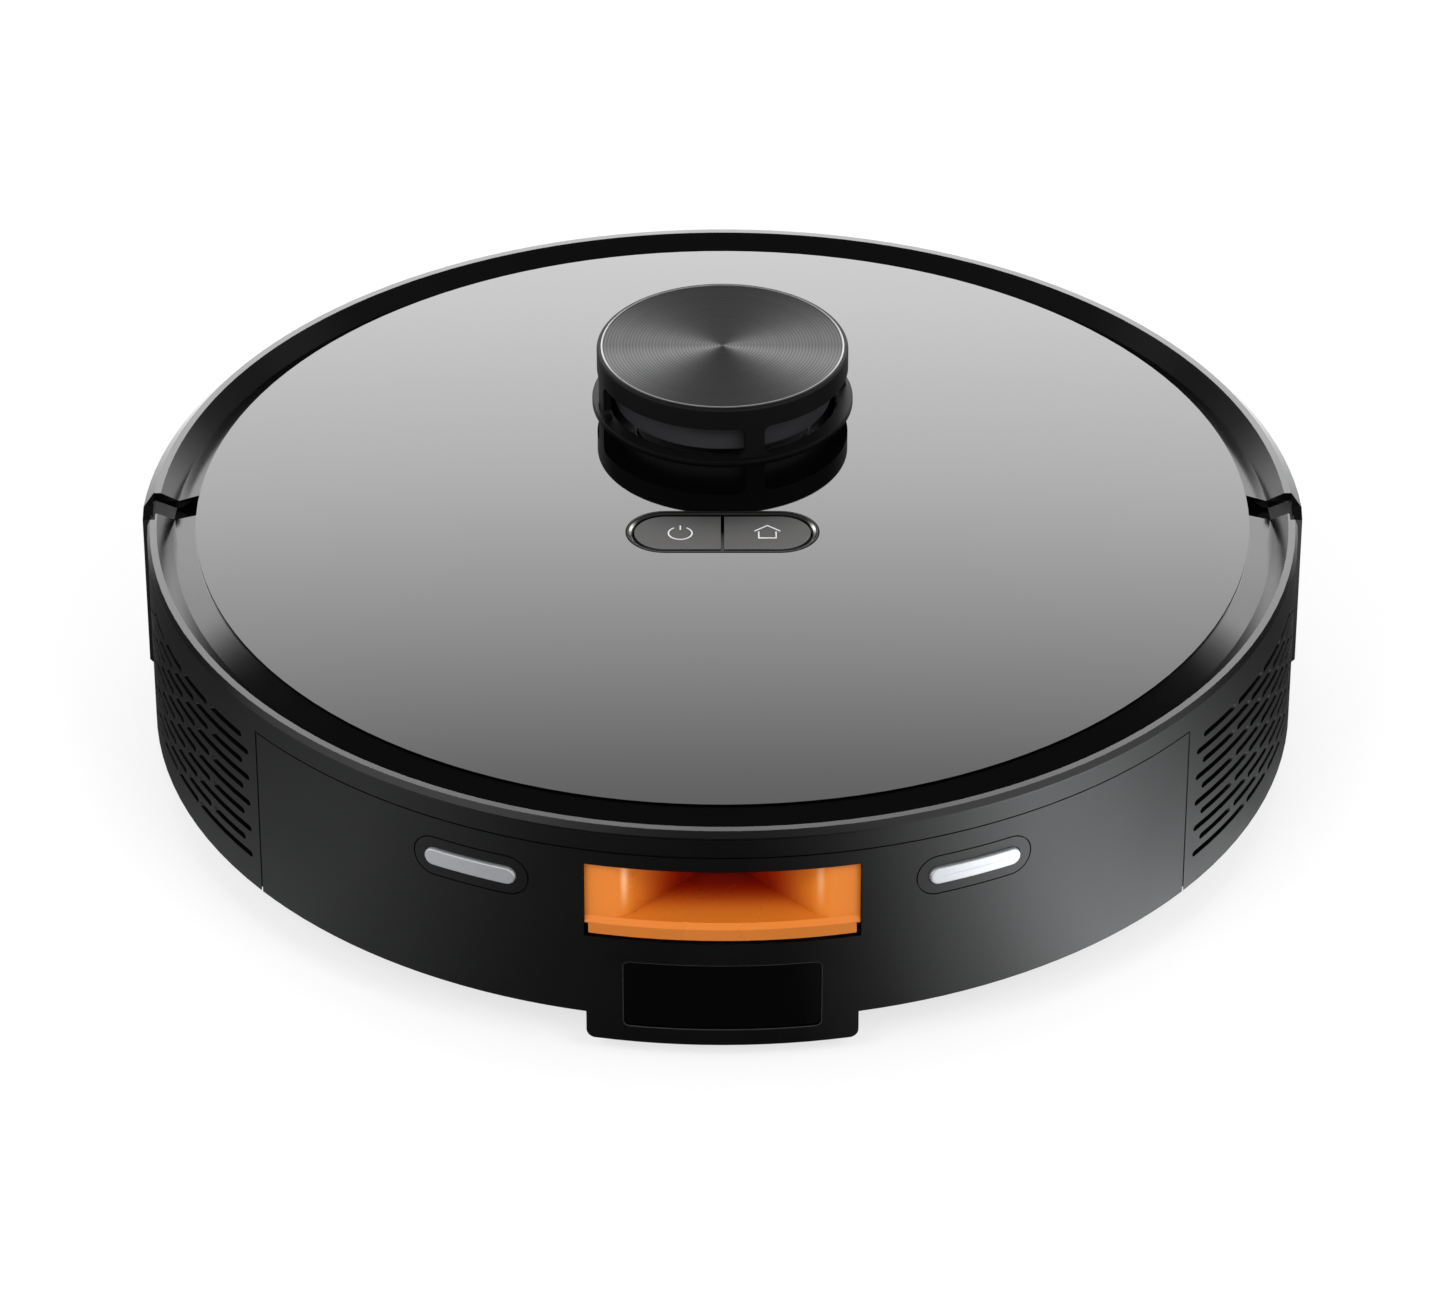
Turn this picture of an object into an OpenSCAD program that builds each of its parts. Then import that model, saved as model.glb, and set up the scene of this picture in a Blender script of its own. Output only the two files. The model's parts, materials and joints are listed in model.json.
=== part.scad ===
// Robot vacuum: round body, sprung front bumper, lidar turret and a pull-out rear dust module.
// Frame: +Z up, +Y towards the bumper, origin on the floor below the centre. Sizes in millimetres.

/* [Overall] */
// Radius of the side wall
body_r = 173.4; // [170:0.1:210]
// Height of the top panel's face above the floor
deck_z = 79; // [77:0.5:96]
// Height of the bottom edge of the side wall
skirt_z = 14.5; // [13:0.5:17]
// Height of the flat underside
belly_z = 8.5; // [8:0.1:9.5]
// Thickness of the moulded walls
wall = 2.4; // [2:0.1:2.8]
// Thickness of the floor plates
floor_t = 3; // [2.6:0.1:3.6]
// Gap at the seams between covers
seam = 0.4; // [0.2:0.1:0.8]
// Clearance between faces that slide or turn past each other
run_gap = 0.3; // [0.2:0.05:0.5]
// Radial clearance of a pin in its bore
pin_fit = 0.05; // [0.02:0.01:0.1]

/* [Rim and moat] */
// Height of the rim above the top panel
rim_rise = 0.3; // [0:0.1:0.8]
// Width of the flat on the rim
rim_w = 2.1; // [1.5:0.1:3]
// Width of the bevel outside the rim
bevel_w = 0.8; // [0.6:0.1:1.4]
// Height of the bevel outside the rim
bevel_h = 2.1; // [1:0.1:2.4]
// Distance from the rim's flat in to the bottom of the moat
moat_fall_w = 4.9; // [4:0.1:6]
// Distance from the bottom of the moat in to the top panel
moat_ramp_w = 6.8; // [6:0.1:8]
// Depth of the moat below the panel's face
moat_depth = 4.3; // [3:0.1:4.6]
// Drop of the ramp's inner edge below the panel's face
ramp_drop = 1.1; // [1.1:0.1:1.6]

/* [Top panel] */
// Thickness of the mirror panel
panel_t = 0.8; // [0.6:0.1:0.8]

/* [Buttons] */
// Distance of the button pill behind the centre
pill_back = 12.6; // [8:0.1:16]
// Length of the pill's bezel
pill_l = 57.6; // [52:0.1:64]
// Width of the pill's bezel
pill_w = 23.2; // [20:0.1:26]
// Width of the bezel's rim
bezel_w = 1.9; // [1.6:0.1:3]
// Depth that the bezel slopes down to the keys
bezel_dip = 0.8; // [0.4:0.1:1]
// Gap between the two keys
key_split = 1; // [0.6:0.1:1.6]
// Travel of a key
key_travel = 0.6; // [0.4:0.1:1]

/* [Lidar turret] */
// Distance of the turret's axis ahead of the centre
turret_y = 66.4; // [62:0.1:70]
// Height of the turret above the top panel
turret_h = 19; // [18:0.5:24]
// Outer radius of the turret's cover
turret_r = 38.9; // [37.5:0.1:42]
// Width of the cover's rim round the bright ring
cover_rim = 1.3; // [1.2:0.1:3]
// Width of the bright ring round the disc
ring_w = 0.5; // [0.3:0.1:1]
// How far the ledge reaches out past the cover
ledge_w = 1.5; // [1:0.1:4]
// Height of the windows' lintel above the panel
lintel_h = 11.5; // [10:0.1:12.5]
// Width of a pillar
pillar_w = 5.9; // [4:0.1:8]
// Angle of the first pillar from the rear
pillar_turn = 15; // [0:1:30]
// Gap between the spinning drum and the inside of the cover
drum_gap = 3; // [2:0.1:5]
// Pitch radius of the drum's belt wheel
drum_wheel_r = 26; // [24:0.5:30]
// Pitch radius of the motor's belt wheel
motor_wheel_r = 6.5; // [5:0.5:8]
// Distance from the turret's axis to the lidar motor
motor_off = 52; // [50:0.5:56]

/* [Bumper] */
// How far the bumper stands out past the side wall
bumper_proud = 2.1; // [1.8:0.1:2.6]
// Height of the bumper's bottom edge
bumper_z = 23; // [20:0.5:26]
// Travel of the bumper
bumper_travel = 5; // [3:0.5:5]
// Place of the bumper's top edge beside the gap
bumper_top_y = 9.4; // [9:0.1:12]
// Place of the bumper's wall edge beside the gap
bumper_wall_y = 2; // [1:0.1:4]
// Radius of the chassis wall behind the bumper
front_wall_r = 166.5; // [160:0.1:166.5]
// Bottom of the sensor window in the bumper
front_window_z = 46; // [40:1:50]
// Height of the sensor window in the bumper
front_window_h = 15; // [10:1:18]

/* [Side grilles] */
// Number of rows of slots
slot_rows = 10; // [6:1:10]
// Distance between rows
slot_pitch = 4.5; // [4:0.1:5]
// Height of a slot
slot_h = 2; // [1.4:0.1:2.4]
// Depth of the first row below the top panel
slot_drop = 13.6; // [12:0.1:15]
// Repeat of the slots along the body
slot_step = 17.2; // [15:0.1:18]
// Solid bridge between two slots
slot_bridge = 1.7; // [1.4:0.1:3]
// Rear end of the slots
slot_start = 102.6; // [100:0.1:104]

/* [Rear module] */
// Half width of the module's fascia
fascia_x = 134.9; // [130:0.1:137]
// Depth of the module's top edge below the top panel
fascia_drop = 8.7; // [8.5:0.1:9.5]
// Half width of the dust bin
bin_x = 92; // [88:0.5:93]
// Place of the dust bin's front wall behind the centre
bin_front = 52; // [51:0.5:54]
// Place of the fascia's wings behind the centre
wing_front = 106; // [105:0.5:107]
// Place of the wall between bin and discharge port
port_wall = 140; // [138:0.5:142]
// Half width of the tongue below the fascia
tongue_x = 39; // [30:0.5:42]
// Height of the tongue's tip above the floor
tongue_z = 5.7; // [5:0.1:7]

/* [Discharge port] */
// Half width of the port
port_x = 39.4; // [36:0.1:40]
// Height of the port's lower edge
port_z = 40.9; // [40:0.1:42]
// Height of the port
port_h = 24.8; // [22:0.1:25]
// Half width of the funnel's mouth
mouth_x = 27.5; // [24:0.5:30]
// Half width of the funnel's throat
throat_x = 6.5; // [5:0.5:9]
// Height of the funnel's floor above the port's lower edge
port_sill = 6.1; // [5:0.1:7]

/* [Charging contacts] */
// Distance of a contact's middle from the centre line
contact_x = 71.9; // [66:0.1:73]
// Height of the contacts above the floor
contact_z = 57.3; // [54:0.1:60]
// Length of a contact
contact_l = 28.6; // [20:0.1:30]
// Height of a contact
contact_h = 5.5; // [4:0.1:7]
// Width of the pad round a contact
pad_rim = 3.5; // [2.5:0.1:4]

/* [Infrared window] */
// Half width of the window
ir_x = 28.6; // [20:0.1:30]
// Height of the window's lower edge
ir_z = 10.7; // [10:0.1:12]
// Height of the window
ir_h = 22.8; // [18:0.1:24]

/* [Drive wheels] */
// Distance of the wheels' middle from the centre
wheel_x = 127; // [126:0.5:128]
// Radius of a tyre
tyre_r = 34; // [32:0.5:34]
// Width of a tyre
tyre_w = 20; // [16:0.5:20]
// Distance from the wheel to the pivot of its arm
arm_l = 42; // [40:0.5:42]
// Number of lugs on a tyre
tyre_lugs = 30; // [20:1:36]

/* [Caster] */
// Distance of the caster's swivel ahead of the centre
caster_y = 130; // [129:0.5:131]
// Radius of the caster's fork
fork_r = 20.2; // [19:0.1:20.4]
// Radius of the caster's wheel
caster_r = 14; // [13:0.5:14]
// Width of the caster's wheel
caster_w = 14; // [10:0.5:15]
// Trail of the caster's wheel
caster_trail = 4; // [3:0.5:4]

/* [Brushes] */
// Height of the main brush's axis
brush_z = 27.5; // [27.5:0.5:29]
// Radius of the main brush's fins
brush_r = 19.5; // [18:0.5:19.5]
// Half length of the main brush
brush_x = 82; // [70:0.5:82]
// Number of fins on the main brush
brush_fins = 6; // [4:1:8]
// Place of the side brush to the right of the centre
side_x = 108; // [106:0.5:109]
// Place of the side brush ahead of the centre
side_y = 103; // [102:0.5:104]
// Reach of the side brush
side_reach = 62; // [50:1:62]

/* [Suction fan] */
// Distance of the fan from the side wall
fan_inset = 51.4; // [51.2:0.1:54]
// Place of the fan and the speaker behind the centre
fan_back = 72; // [70:0.5:73]
// Radius of the impeller
impeller_r = 21; // [18:0.5:21]
// Number of blades
blades = 9; // [7:1:11]

/* [Hidden] */
$fn = 96;

black = "#1d1e21";
jet = "#08080a";
graphite = "#3a3b3e";
mirror_grey = "#8d8f92";
silver = "#c9cacd";
orange = "#e0761e";
board_green = "#1d4a33";
far = 400;
cut = 0.1;
top_z = deck_z + turret_h;
rim_z = deck_z + rim_rise;
rim_out_r = body_r - bevel_w;
rim_in_r = rim_out_r - rim_w;
moat_r = rim_in_r - moat_fall_w;
disc_r = turret_r - cover_rim - ring_w;
ledge_r = turret_r + ledge_w;
drum_r = turret_r - wall - drum_gap;
bezel_top_z = deck_z + 0.1;
key_top_z = bezel_top_z - bezel_dip + 0.3;
moat_z = deck_z - moat_depth;
panel_r = moat_r - moat_ramp_w;
seat_z = deck_z - panel_t;
deck_low_z = seat_z - 2.5;
moat_low_z = moat_z - 2.7;
inner_r = body_r - wall;
bumper_r = body_r + bumper_proud;
bumper_in_r = bumper_r - wall;
bumper_low_z = moat_low_z + run_gap;
shelf_z = bumper_low_z - 0.9;
shelf_t = 2.2;
// Room behind the bumper follows the body when the body grows
wall_back = body_r - 7.7;
front_r = min(front_wall_r, bumper_in_r - bumper_travel - 1.4) + max(0, wall_back - front_wall_r);
support_r = panel_r - bumper_travel - run_gap;
housing_end_y = -6.2;
deck_split_y = -2;
fascia_z = deck_z - fascia_drop;
contact_turn = asin(contact_x / body_r);
pan_top_z = belly_z + floor_t;
pan_flat_r = body_r - 13;
bay_gap = 0.6;
bay_wall = 2;
rail_gap = 2.4;
wheel_in_x = wheel_x - tyre_w / 2;
well_in_x = wheel_x - 23.5;
well_out_x = wheel_x + 15.5;
well_back_y = -40;
well_front_y = 48.6;
fan_x = body_r - fan_inset;
plate_z = deck_z - 15;

// ---- shared shapes ----

module ring(outer, inner, low, high) {
    translate([0, 0, low])
        difference() {
            cylinder(r = outer, h = high - low);
            translate([0, 0, -cut])
                cylinder(r = inner, h = high - low + 2 * cut);
        }
}

// A box given by its two corners
module block(low, high) {
    translate(low)
        cube(high - low);
}

module stadium(length, height) {
    square([length - height, height], center = true);
    for (side = [-1, 1])
        translate([side * (length - height) / 2, 0])
            circle(d = height);
}

module rounded(width, height, radius) {
    square([width - 2 * radius, height], center = true);
    square([width, height - 2 * radius], center = true);
    for (x = [-1, 1], y = [-1, 1])
        translate([x * (width / 2 - radius), y * (height / 2 - radius)])
            circle(r = radius, $fn = 48);
}

// Lays an outline drawn in X and Z on the YZ or XZ plane and gives it a length
module along_x(low, high) {
    translate([low, 0, 0])
        rotate([90, 0, 90])
            linear_extrude(high - low)
                children();
}

module along_y(low, high) {
    translate([0, high, 0])
        rotate([90, 0, 0])
            linear_extrude(high - low)
                children();
}

// Rod along X
module rod_x(radius, low, high) {
    translate([low, 0, 0])
        rotate([0, 90, 0])
            cylinder(r = radius, h = high - low);
}

// Two discs of unlike size joined by a tapering web, the second at distance
module pear_outline(first_r, second_r, distance) {
    circle(r = first_r);
    translate([distance, 0])
        circle(r = second_r);
    polygon([
        [0, first_r - 1], [0, 1 - first_r], [distance, 1 - second_r], [distance, second_r - 1]
    ]);
}

// Flat belt round two wheels: an arc on each and two straight runs that meet the arcs end to end
module belt_loop(first_r, second_r, distance, thick, high) {
    lean = acos((first_r - second_r) / distance);
    run = distance * sin(lean);
    rotate([0, 0, lean])
        rotate_extrude(angle = 360 - 2 * lean)
            translate([first_r, 0])
                square([thick, high]);
    translate([distance, 0, 0])
        rotate([0, 0, -lean])
            rotate_extrude(angle = 2 * lean)
                translate([second_r, 0])
                    square([thick, high]);
    for (side = [0, 1])
        mirror([0, side, 0])
            rotate([0, 0, lean - 90])
                translate([0, first_r, 0])
                    cube([run, thick, high]);
}

// Places children facing outwards on the side wall, turned from the rear towards +X
module at_wall(turn) {
    rotate([0, 0, turn])
        rotate([90, 0, 0])
            children();
}

// ---- housings ----

// Section of the rear body: bevel, rim, moat, ramp and panel seat over the side wall
module housing_section() {
    polygon([
        [0, deck_low_z], [panel_r - 3, deck_low_z], [moat_r - 1.5, moat_low_z],
        [inner_r, moat_low_z], [inner_r, skirt_z], [body_r, skirt_z],
        [body_r, rim_z - bevel_h], [rim_out_r, rim_z], [rim_in_r, rim_z], [moat_r, moat_z],
        [panel_r + run_gap, deck_z - ramp_drop], [panel_r - 0.5, seat_z], [0, seat_z]
    ]);
}

// Section of the front deck: panel seat, then a low shelf that the bumper's moat slides over
module shelf_section() {
    polygon([
        [0, deck_low_z], [support_r - wall, deck_low_z], [support_r - wall, shelf_z - shelf_t],
        [front_r, shelf_z - shelf_t], [front_r, shelf_z], [support_r, shelf_z],
        [support_r, seat_z], [0, seat_z]
    ]);
}

// Side view of the rear half, with the leaning end face beside the bumper's gap
module rear_zone() {
    lean_y = 1.2;
    slope = 0.85;
    along_x(-far, far)
        polygon([
            [-far, 0], [-far, top_z], [lean_y - slope * (top_z - moat_z), top_z],
            [lean_y, moat_z], [lean_y, shelf_z], [deck_split_y, shelf_z], [deck_split_y, 0]
        ]);
}

// Rows of slots, cut straight through the wall as a side core would. Odd rows start half a step later.
module grille_slots() {
    slot_l = slot_step - slot_bridge;
    for (row = [0 : slot_rows - 1]) {
        odd = row % 2;
        last = row == 0 ? 3 : 4 - odd;
        for (k = [0 : last]) {
            first_long = odd == 1 && k == 0;
            length = first_long ? slot_l * 1.5 + slot_h + 2 : slot_l;
            middle = odd == 0
                ? -slot_start + slot_step * k + slot_l / 2
                : (k == 0
                    ? -slot_start - 2.7 + length / 2
                    : -slot_start + slot_step * (k + 0.5) + slot_l / 2);
            translate([middle, deck_z - slot_drop - slot_pitch * row])
                stadium(length, slot_h);
        }
    }
}

module upper_housing() {
    color(black)
        difference() {
            union() {
                intersection() {
                    rotate_extrude($fn = 240)
                        housing_section();
                    rear_zone();
                }
                intersection() {
                    rotate_extrude($fn = 240)
                        shelf_section();
                    block([-far, deck_split_y - cut, 0], [far, far, top_z]);
                }
                // upright web that closes the rear shell beside the gap
                intersection() {
                    ring(inner_r + 0.5, front_r + run_gap, skirt_z, moat_low_z + 0.5);
                    block([-far, housing_end_y - wall, 0], [far, housing_end_y, top_z]);
                }
                bumper_glides();
            }
            // stepped-in end that the bumper's wall runs past
            difference() {
                block([-far, housing_end_y, 0], [far, 20, top_z]);
                cylinder(r = inner_r + cut, h = top_z);
            }
            translate([0, turret_y, 0])
                cylinder(r = drum_r + 1.5, h = top_z);
            translate([0, -pill_back, 0])
                linear_extrude(top_z)
                    stadium(pill_l + 2 * seam, pill_w + 2 * seam);
            block([-fascia_x - seam, -far, 0], [fascia_x + seam, -wing_front, fascia_z + seam]);
            for (side = [-1, 1])
                along_x(side > 0 ? 100 : -far, side > 0 ? far : -100)
                    grille_slots();
        }
}

// Low pads on the shelf that carry the bumper's moat
module bumper_glides() {
    pads = 7;
    for (k = [0 : pads - 1])
        rotate([0, 0, 20 + k * 140 / (pads - 1)])
            block([support_r + 3, -2, shelf_z - cut], [front_r - 1, 2, bumper_low_z - run_gap]);
}

// Section of the bumper: thin skin with the same rim, moat and ramp, and the front wall
module bumper_section() {
    bevel_low_z = rim_z - 2.9;
    polygon([
        [bumper_in_r, bumper_z], [bumper_r - 1, bumper_z], [bumper_r, bumper_z + 1],
        [bumper_r, bevel_low_z], [rim_out_r, rim_z], [rim_in_r, rim_z], [moat_r, moat_z],
        [panel_r + run_gap, deck_z - ramp_drop], [panel_r + run_gap, deck_z - ramp_drop - 1.4],
        [moat_r - 1, bumper_low_z], [moat_r + 1.2, bumper_low_z], [bumper_in_r, deck_z - 4]
    ]);
}

module bumper_shell() {
    slope = 0.65;
    wall_zone_r = bumper_in_r - 0.6;
    moat_end_y = bumper_top_y + slope * moat_depth;
    color(black)
        difference() {
            rotate_extrude($fn = 240)
                bumper_section();
            // the moat stops short of the wall beside the gap, with a leaning end
            intersection() {
                cylinder(r = wall_zone_r, h = far);
                along_x(-far, far)
                    polygon([
                        [-far, -cut], [-far, far], [bumper_top_y - slope * (far - deck_z), far],
                        [moat_end_y, moat_z], [moat_end_y, -cut]
                    ]);
            }
            // the wall reaches further back and is bevelled at the top
            difference() {
                along_x(-far, far)
                    polygon([
                        [-far, -cut], [-far, far], [bumper_top_y, far], [bumper_top_y, deck_z],
                        [bumper_top_y - 4.5, deck_z - 3.2], [bumper_wall_y, deck_z - 4.8],
                        [bumper_wall_y, -cut]
                    ]);
                translate([0, 0, -cut])
                    cylinder(r = wall_zone_r - 0.2, h = far);
            }
            front_window_groove();
        }
}

module front_window_groove() {
    intersection() {
        ring(bumper_r + 1, bumper_r - 0.9, front_window_z, front_window_z + front_window_h);
        block([-far, body_r / 2, 0], [far, far, top_z]);
    }
}

module bumper_window() {
    color(jet)
        intersection() {
            ring(bumper_r - 0.1, bumper_r - 0.88, front_window_z + 0.1,
                front_window_z + front_window_h - 0.1);
            block([-far, body_r / 2 + 0.1, 0], [far, far, top_z]);
        }
}

// Micro switches behind the front wall, with plungers that reach through it
module bumper_switches() {
    color(graphite)
        for (turn = [-38, 38])
            rotate([0, 0, turn]) {
                block([-10, front_r - wall - 9, 44], [10, front_r - wall - 0.4, 54]);
                translate([0, front_r - wall - 1, 49])
                    rotate([-90, 0, 0])
                        cylinder(r = 1.6, h = wall + 1.8);
            }
}

// Outline of the rear module seen from above: a wide fascia and a narrower bin ahead of it
module module_outline(inset) {
    intersection() {
        circle(r = body_r - inset, $fn = 240);
        union() {
            translate([-fascia_x + inset, -far])
                square([2 * (fascia_x - inset), far - wing_front - inset]);
            translate([-bin_x + inset, -far])
                square([2 * (bin_x - inset), far - bin_front - inset]);
        }
    }
}

// The same outline grown, for the bay that takes the module
module bay_outline(grow) {
    translate([-fascia_x - bay_gap - grow, -far])
        square([2 * (fascia_x + bay_gap + grow), far - wing_front + run_gap + grow]);
    translate([-bin_x - rail_gap - grow, -body_r])
        square([2 * (bin_x + rail_gap + grow), body_r - bin_front + rail_gap + grow]);
}

module pan_section(edge_r) {
    polygon([
        [0, belly_z], [pan_flat_r, belly_z], [edge_r, skirt_z], [edge_r - 6, skirt_z],
        [pan_flat_r - 1, pan_top_z], [0, pan_top_z]
    ]);
}

module front_pan_section() {
    polygon([
        [0, belly_z], [front_r - 9, belly_z], [front_r, belly_z + 5], [front_r, shelf_z - shelf_t],
        [front_r - wall, shelf_z - shelf_t], [front_r - wall, belly_z + 7],
        [front_r - 10, pan_top_z], [0, pan_top_z]
    ]);
}

module lower_chassis() {
    web_y = housing_end_y - wall;
    color(black)
        difference() {
            union() {
                intersection() {
                    rotate_extrude($fn = 240)
                        pan_section(body_r - 0.6);
                    block([-far, -far, 0], [far, web_y, top_z]);
                }
                intersection() {
                    rotate_extrude($fn = 240)
                        front_pan_section();
                    block([-far, web_y - cut, 0], [far, far, top_z]);
                }
                intersection() {
                    translate([0, 0, pan_top_z - cut])
                        linear_extrude(fascia_z - 4 - pan_top_z)
                            difference() {
                                bay_outline(bay_wall);
                                bay_outline(0);
                            }
                    cylinder(r = inner_r - 1.4, h = top_z, $fn = 240);
                }
                bay_rails();
                battery_posts();
            }
            translate([0, 0, -cut])
                linear_extrude(pan_top_z + 5)
                    bay_outline(0);
            // suction path from the brush tunnel to the bin
            block([-45, -bin_front, 34], [45, -bin_front + 8, 56]);
            // outlet from the bin to the fan
            block([-far / 2, -fan_back - 14, 24], [0, -fan_back + 14, 50]);
            brush_bay();
            for (side = [-1, 1])
                block([side > 0 ? well_in_x + 2 : -well_out_x + 2, well_back_y + 2, 0],
                    [side > 0 ? well_out_x - 2 : -well_in_x - 2, well_front_y - 2, pan_top_z + cut]);
            translate([0, caster_y, 0])
                cylinder(r = fork_r + 3, h = pan_top_z + cut);
            translate([side_x, side_y, 0])
                cylinder(r = 4.5, h = pan_top_z + cut);
            block([-77, 39, 0], [77, 105, pan_top_z + cut]);
            cliff_pockets(0);
            for (turn = [-38, 38])
                rotate([0, 0, turn])
                    translate([0, front_r - wall - 1, 49])
                        rotate([-90, 0, 0])
                            cylinder(r = 2.2, h = wall + 4);
        }
}

// Recess for the brush cover, with the hinge holes for its pins
module brush_bay() {
    block([-98, cover_back_y - 1.6, 0], [98, 31, pan_top_z + cut]);
    translate([0, cover_back_y, cover_pin_z])
        rod_x(cover_pin_r + pin_fit, -101.4, 101.4);
}

// Channels on the bay's walls that the bin's side ribs slide in
module bay_rails() {
    for (side = [-1, 1], z = [rib_z - 2.6, rib_z + rib_t + 0.2])
        block([side > 0 ? bin_x + 0.4 : -bin_x - rail_gap - cut, -wing_front + 3, z],
            [side > 0 ? bin_x + rail_gap + cut : -bin_x - 0.4, -bin_front + 1, z + 2.4]);
}

// Small bosses that hold the battery cover
module battery_posts() {
    for (side = [-1, 1])
        translate([side * 84, 72, pan_top_z - cut])
            cylinder(r = 4, h = 14);
}

rib_z = 60;
rib_t = 2;
cover_back_y = -33;
cover_pin_z = belly_z + 1.5;
cover_pin_r = 1.2;

// ---- top panel and buttons ----

module top_panel() {
    color(mirror_grey)
        difference() {
            translate([0, 0, seat_z])
                cylinder(r = panel_r, h = panel_t, $fn = 240);
            translate([0, turret_y, 0])
                cylinder(r = turret_r, h = top_z);
            translate([0, -pill_back, 0])
                linear_extrude(top_z)
                    stadium(pill_l + 2 * seam, pill_w + 2 * seam);
        }
}

module key_outline(grow) {
    stadium(pill_l - 2 * bezel_w - 2 * seam + 2 * grow, pill_w - 2 * bezel_w - 2 * seam + 2 * grow);
}

// Runs an outline, drawn as distance from the pill's middle line and height, round the pill
module round_pill() {
    half = (pill_l - pill_w) / 2;
    for (side = [-1, 1])
        translate([side * half, 0, 0])
            rotate([0, 0, -90 * side])
                rotate_extrude(angle = 180)
                    children();
    for (side = [0, 1])
        mirror([0, side, 0])
            along_x(-half, half)
                children();
}

// Frame with a slope down to the keys, and below it a floor that guides the keys' stems
module button_bezel() {
    floor_z = deck_low_z - 1.5;
    outer = pill_w / 2;
    inner = outer - bezel_w;
    color(silver)
        translate([0, -pill_back, 0]) {
            round_pill()
                polygon([
                    [inner, floor_z + 1.2], [outer + 2.5, floor_z + 1.2], [outer + 2.5, deck_low_z],
                    [outer, deck_low_z], [outer, bezel_top_z], [outer - 0.4, bezel_top_z],
                    [inner, bezel_top_z - bezel_dip]
                ]);
            difference() {
                union() {
                    translate([0, 0, floor_z])
                        linear_extrude(1.2)
                            stadium(pill_l + 5, pill_w + 5);
                    for (side = [-1, 1])
                        translate([side * (pill_l / 2 - 4), 0, floor_z - 2.4])
                            cylinder(r = 2, h = 3);
                }
                for (side = [-1, 1])
                    translate([side * key_mid, 0, 0])
                        cylinder(r = 2.5 + pin_fit, h = top_z);
            }
        }
}

key_mid = pill_l / 4 - 1;

module key(side) {
    low_z = deck_low_z + 0.5 + key_travel;
    color(graphite)
        translate([0, -pill_back, 0]) {
            translate([0, 0, low_z])
                linear_extrude(key_top_z - low_z)
                    intersection() {
                        key_outline(0);
                        translate([side > 0 ? key_split / 2 : -far - key_split / 2, -far / 2])
                            square(far);
                    }
            translate([side * key_mid, 0, deck_low_z - 2.2])
                cylinder(r = 2.5, h = 4);
        }
}

module power_button() {
    key(-1);
}

module home_button() {
    key(1);
}

// Small circuit board with one dome switch below each key
module button_board() {
    dome_h = 0.8;
    board_top = deck_low_z - 2.5 - key_travel - dome_h;
    color(board_green)
        translate([0, -pill_back, 0]) {
            translate([0, 0, board_top - 1.2])
                linear_extrude(1.2)
                    rounded(54, 16, 2);
            for (side = [-1, 1])
                translate([side * key_mid, 0, board_top])
                    cylinder(r1 = 2.6, r2 = 1.6, h = dome_h);
        }
}

// ---- lidar turret ----

module turret_ledge() {
    color(jet)
        translate([0, turret_y, 0])
            rotate_extrude()
                polygon([
                    [drum_r + 2.3, seat_z], [turret_r - 0.2, seat_z], [turret_r - 0.2, deck_z],
                    [ledge_r, deck_z], [ledge_r, deck_z + 0.7], [ledge_r - 0.3, deck_z + 1],
                    [drum_r + 2.3, deck_z + 1]
                ]);
}

// Upright of the cover with flared ends, drawn as seen from outside
module pillar_outline() {
    low = deck_z + 1;
    high = deck_z + lintel_h;
    flare = 2.2;
    edge = pillar_w / 2 + flare;
    right = concat(
        [[edge, low - 2]],
        [for (turn = [15 : 15 : 90]) [edge - flare * sin(turn), low + flare - flare * cos(turn)]],
        [for (turn = [90 : -15 : 15]) [edge - flare * sin(turn), high - flare + flare * cos(turn)]],
        [[edge, high + 1]]
    );
    polygon(concat(right, [for (k = [len(right) - 1 : -1 : 0]) [-right[k][0], right[k][1]]]));
}

// Inverted cup with four wide windows; what is left between them are the flared pillars
module turret_cover() {
    plate_top = top_z - 0.8;
    round_r = 1.1;
    color(black)
        translate([0, turret_y, 0])
            difference() {
                rotate_extrude($fn = 144)
                    polygon(concat(
                        [[0, plate_top], [0, plate_top - 1.6], [turret_r - wall, plate_top - 1.6]],
                        [[turret_r - wall, deck_z + 1], [turret_r, deck_z + 1]],
                        [for (turn = [0 : 10 : 90])
                            [turret_r - round_r + round_r * cos(turn),
                             top_z - 0.1 - round_r + round_r * sin(turn)]],
                        [[disc_r + ring_w + 0.02, top_z - 0.1], [disc_r + ring_w + 0.02, plate_top]]
                    ));
                difference() {
                    ring(turret_r + 2, turret_r - wall - 2, deck_z, deck_z + lintel_h);
                    for (k = [0 : 3])
                        rotate([0, 0, pillar_turn + 90 * k])
                            along_y(-far, 0)
                                pillar_outline();
                }
            }
}

module turret_ring() {
    color(silver)
        translate([0, turret_y, 0])
            rotate_extrude($fn = 144)
                polygon([
                    [disc_r, top_z - 0.8], [disc_r + ring_w, top_z - 0.8],
                    [disc_r + ring_w, top_z - 0.1], [disc_r + ring_w / 2, top_z],
                    [disc_r, top_z - 0.1]
                ]);
}

module turret_disc() {
    color(graphite)
        translate([0, turret_y, top_z - 0.8])
            cylinder(r = disc_r - 0.02, h = 0.55, $fn = 144);
}

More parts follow.
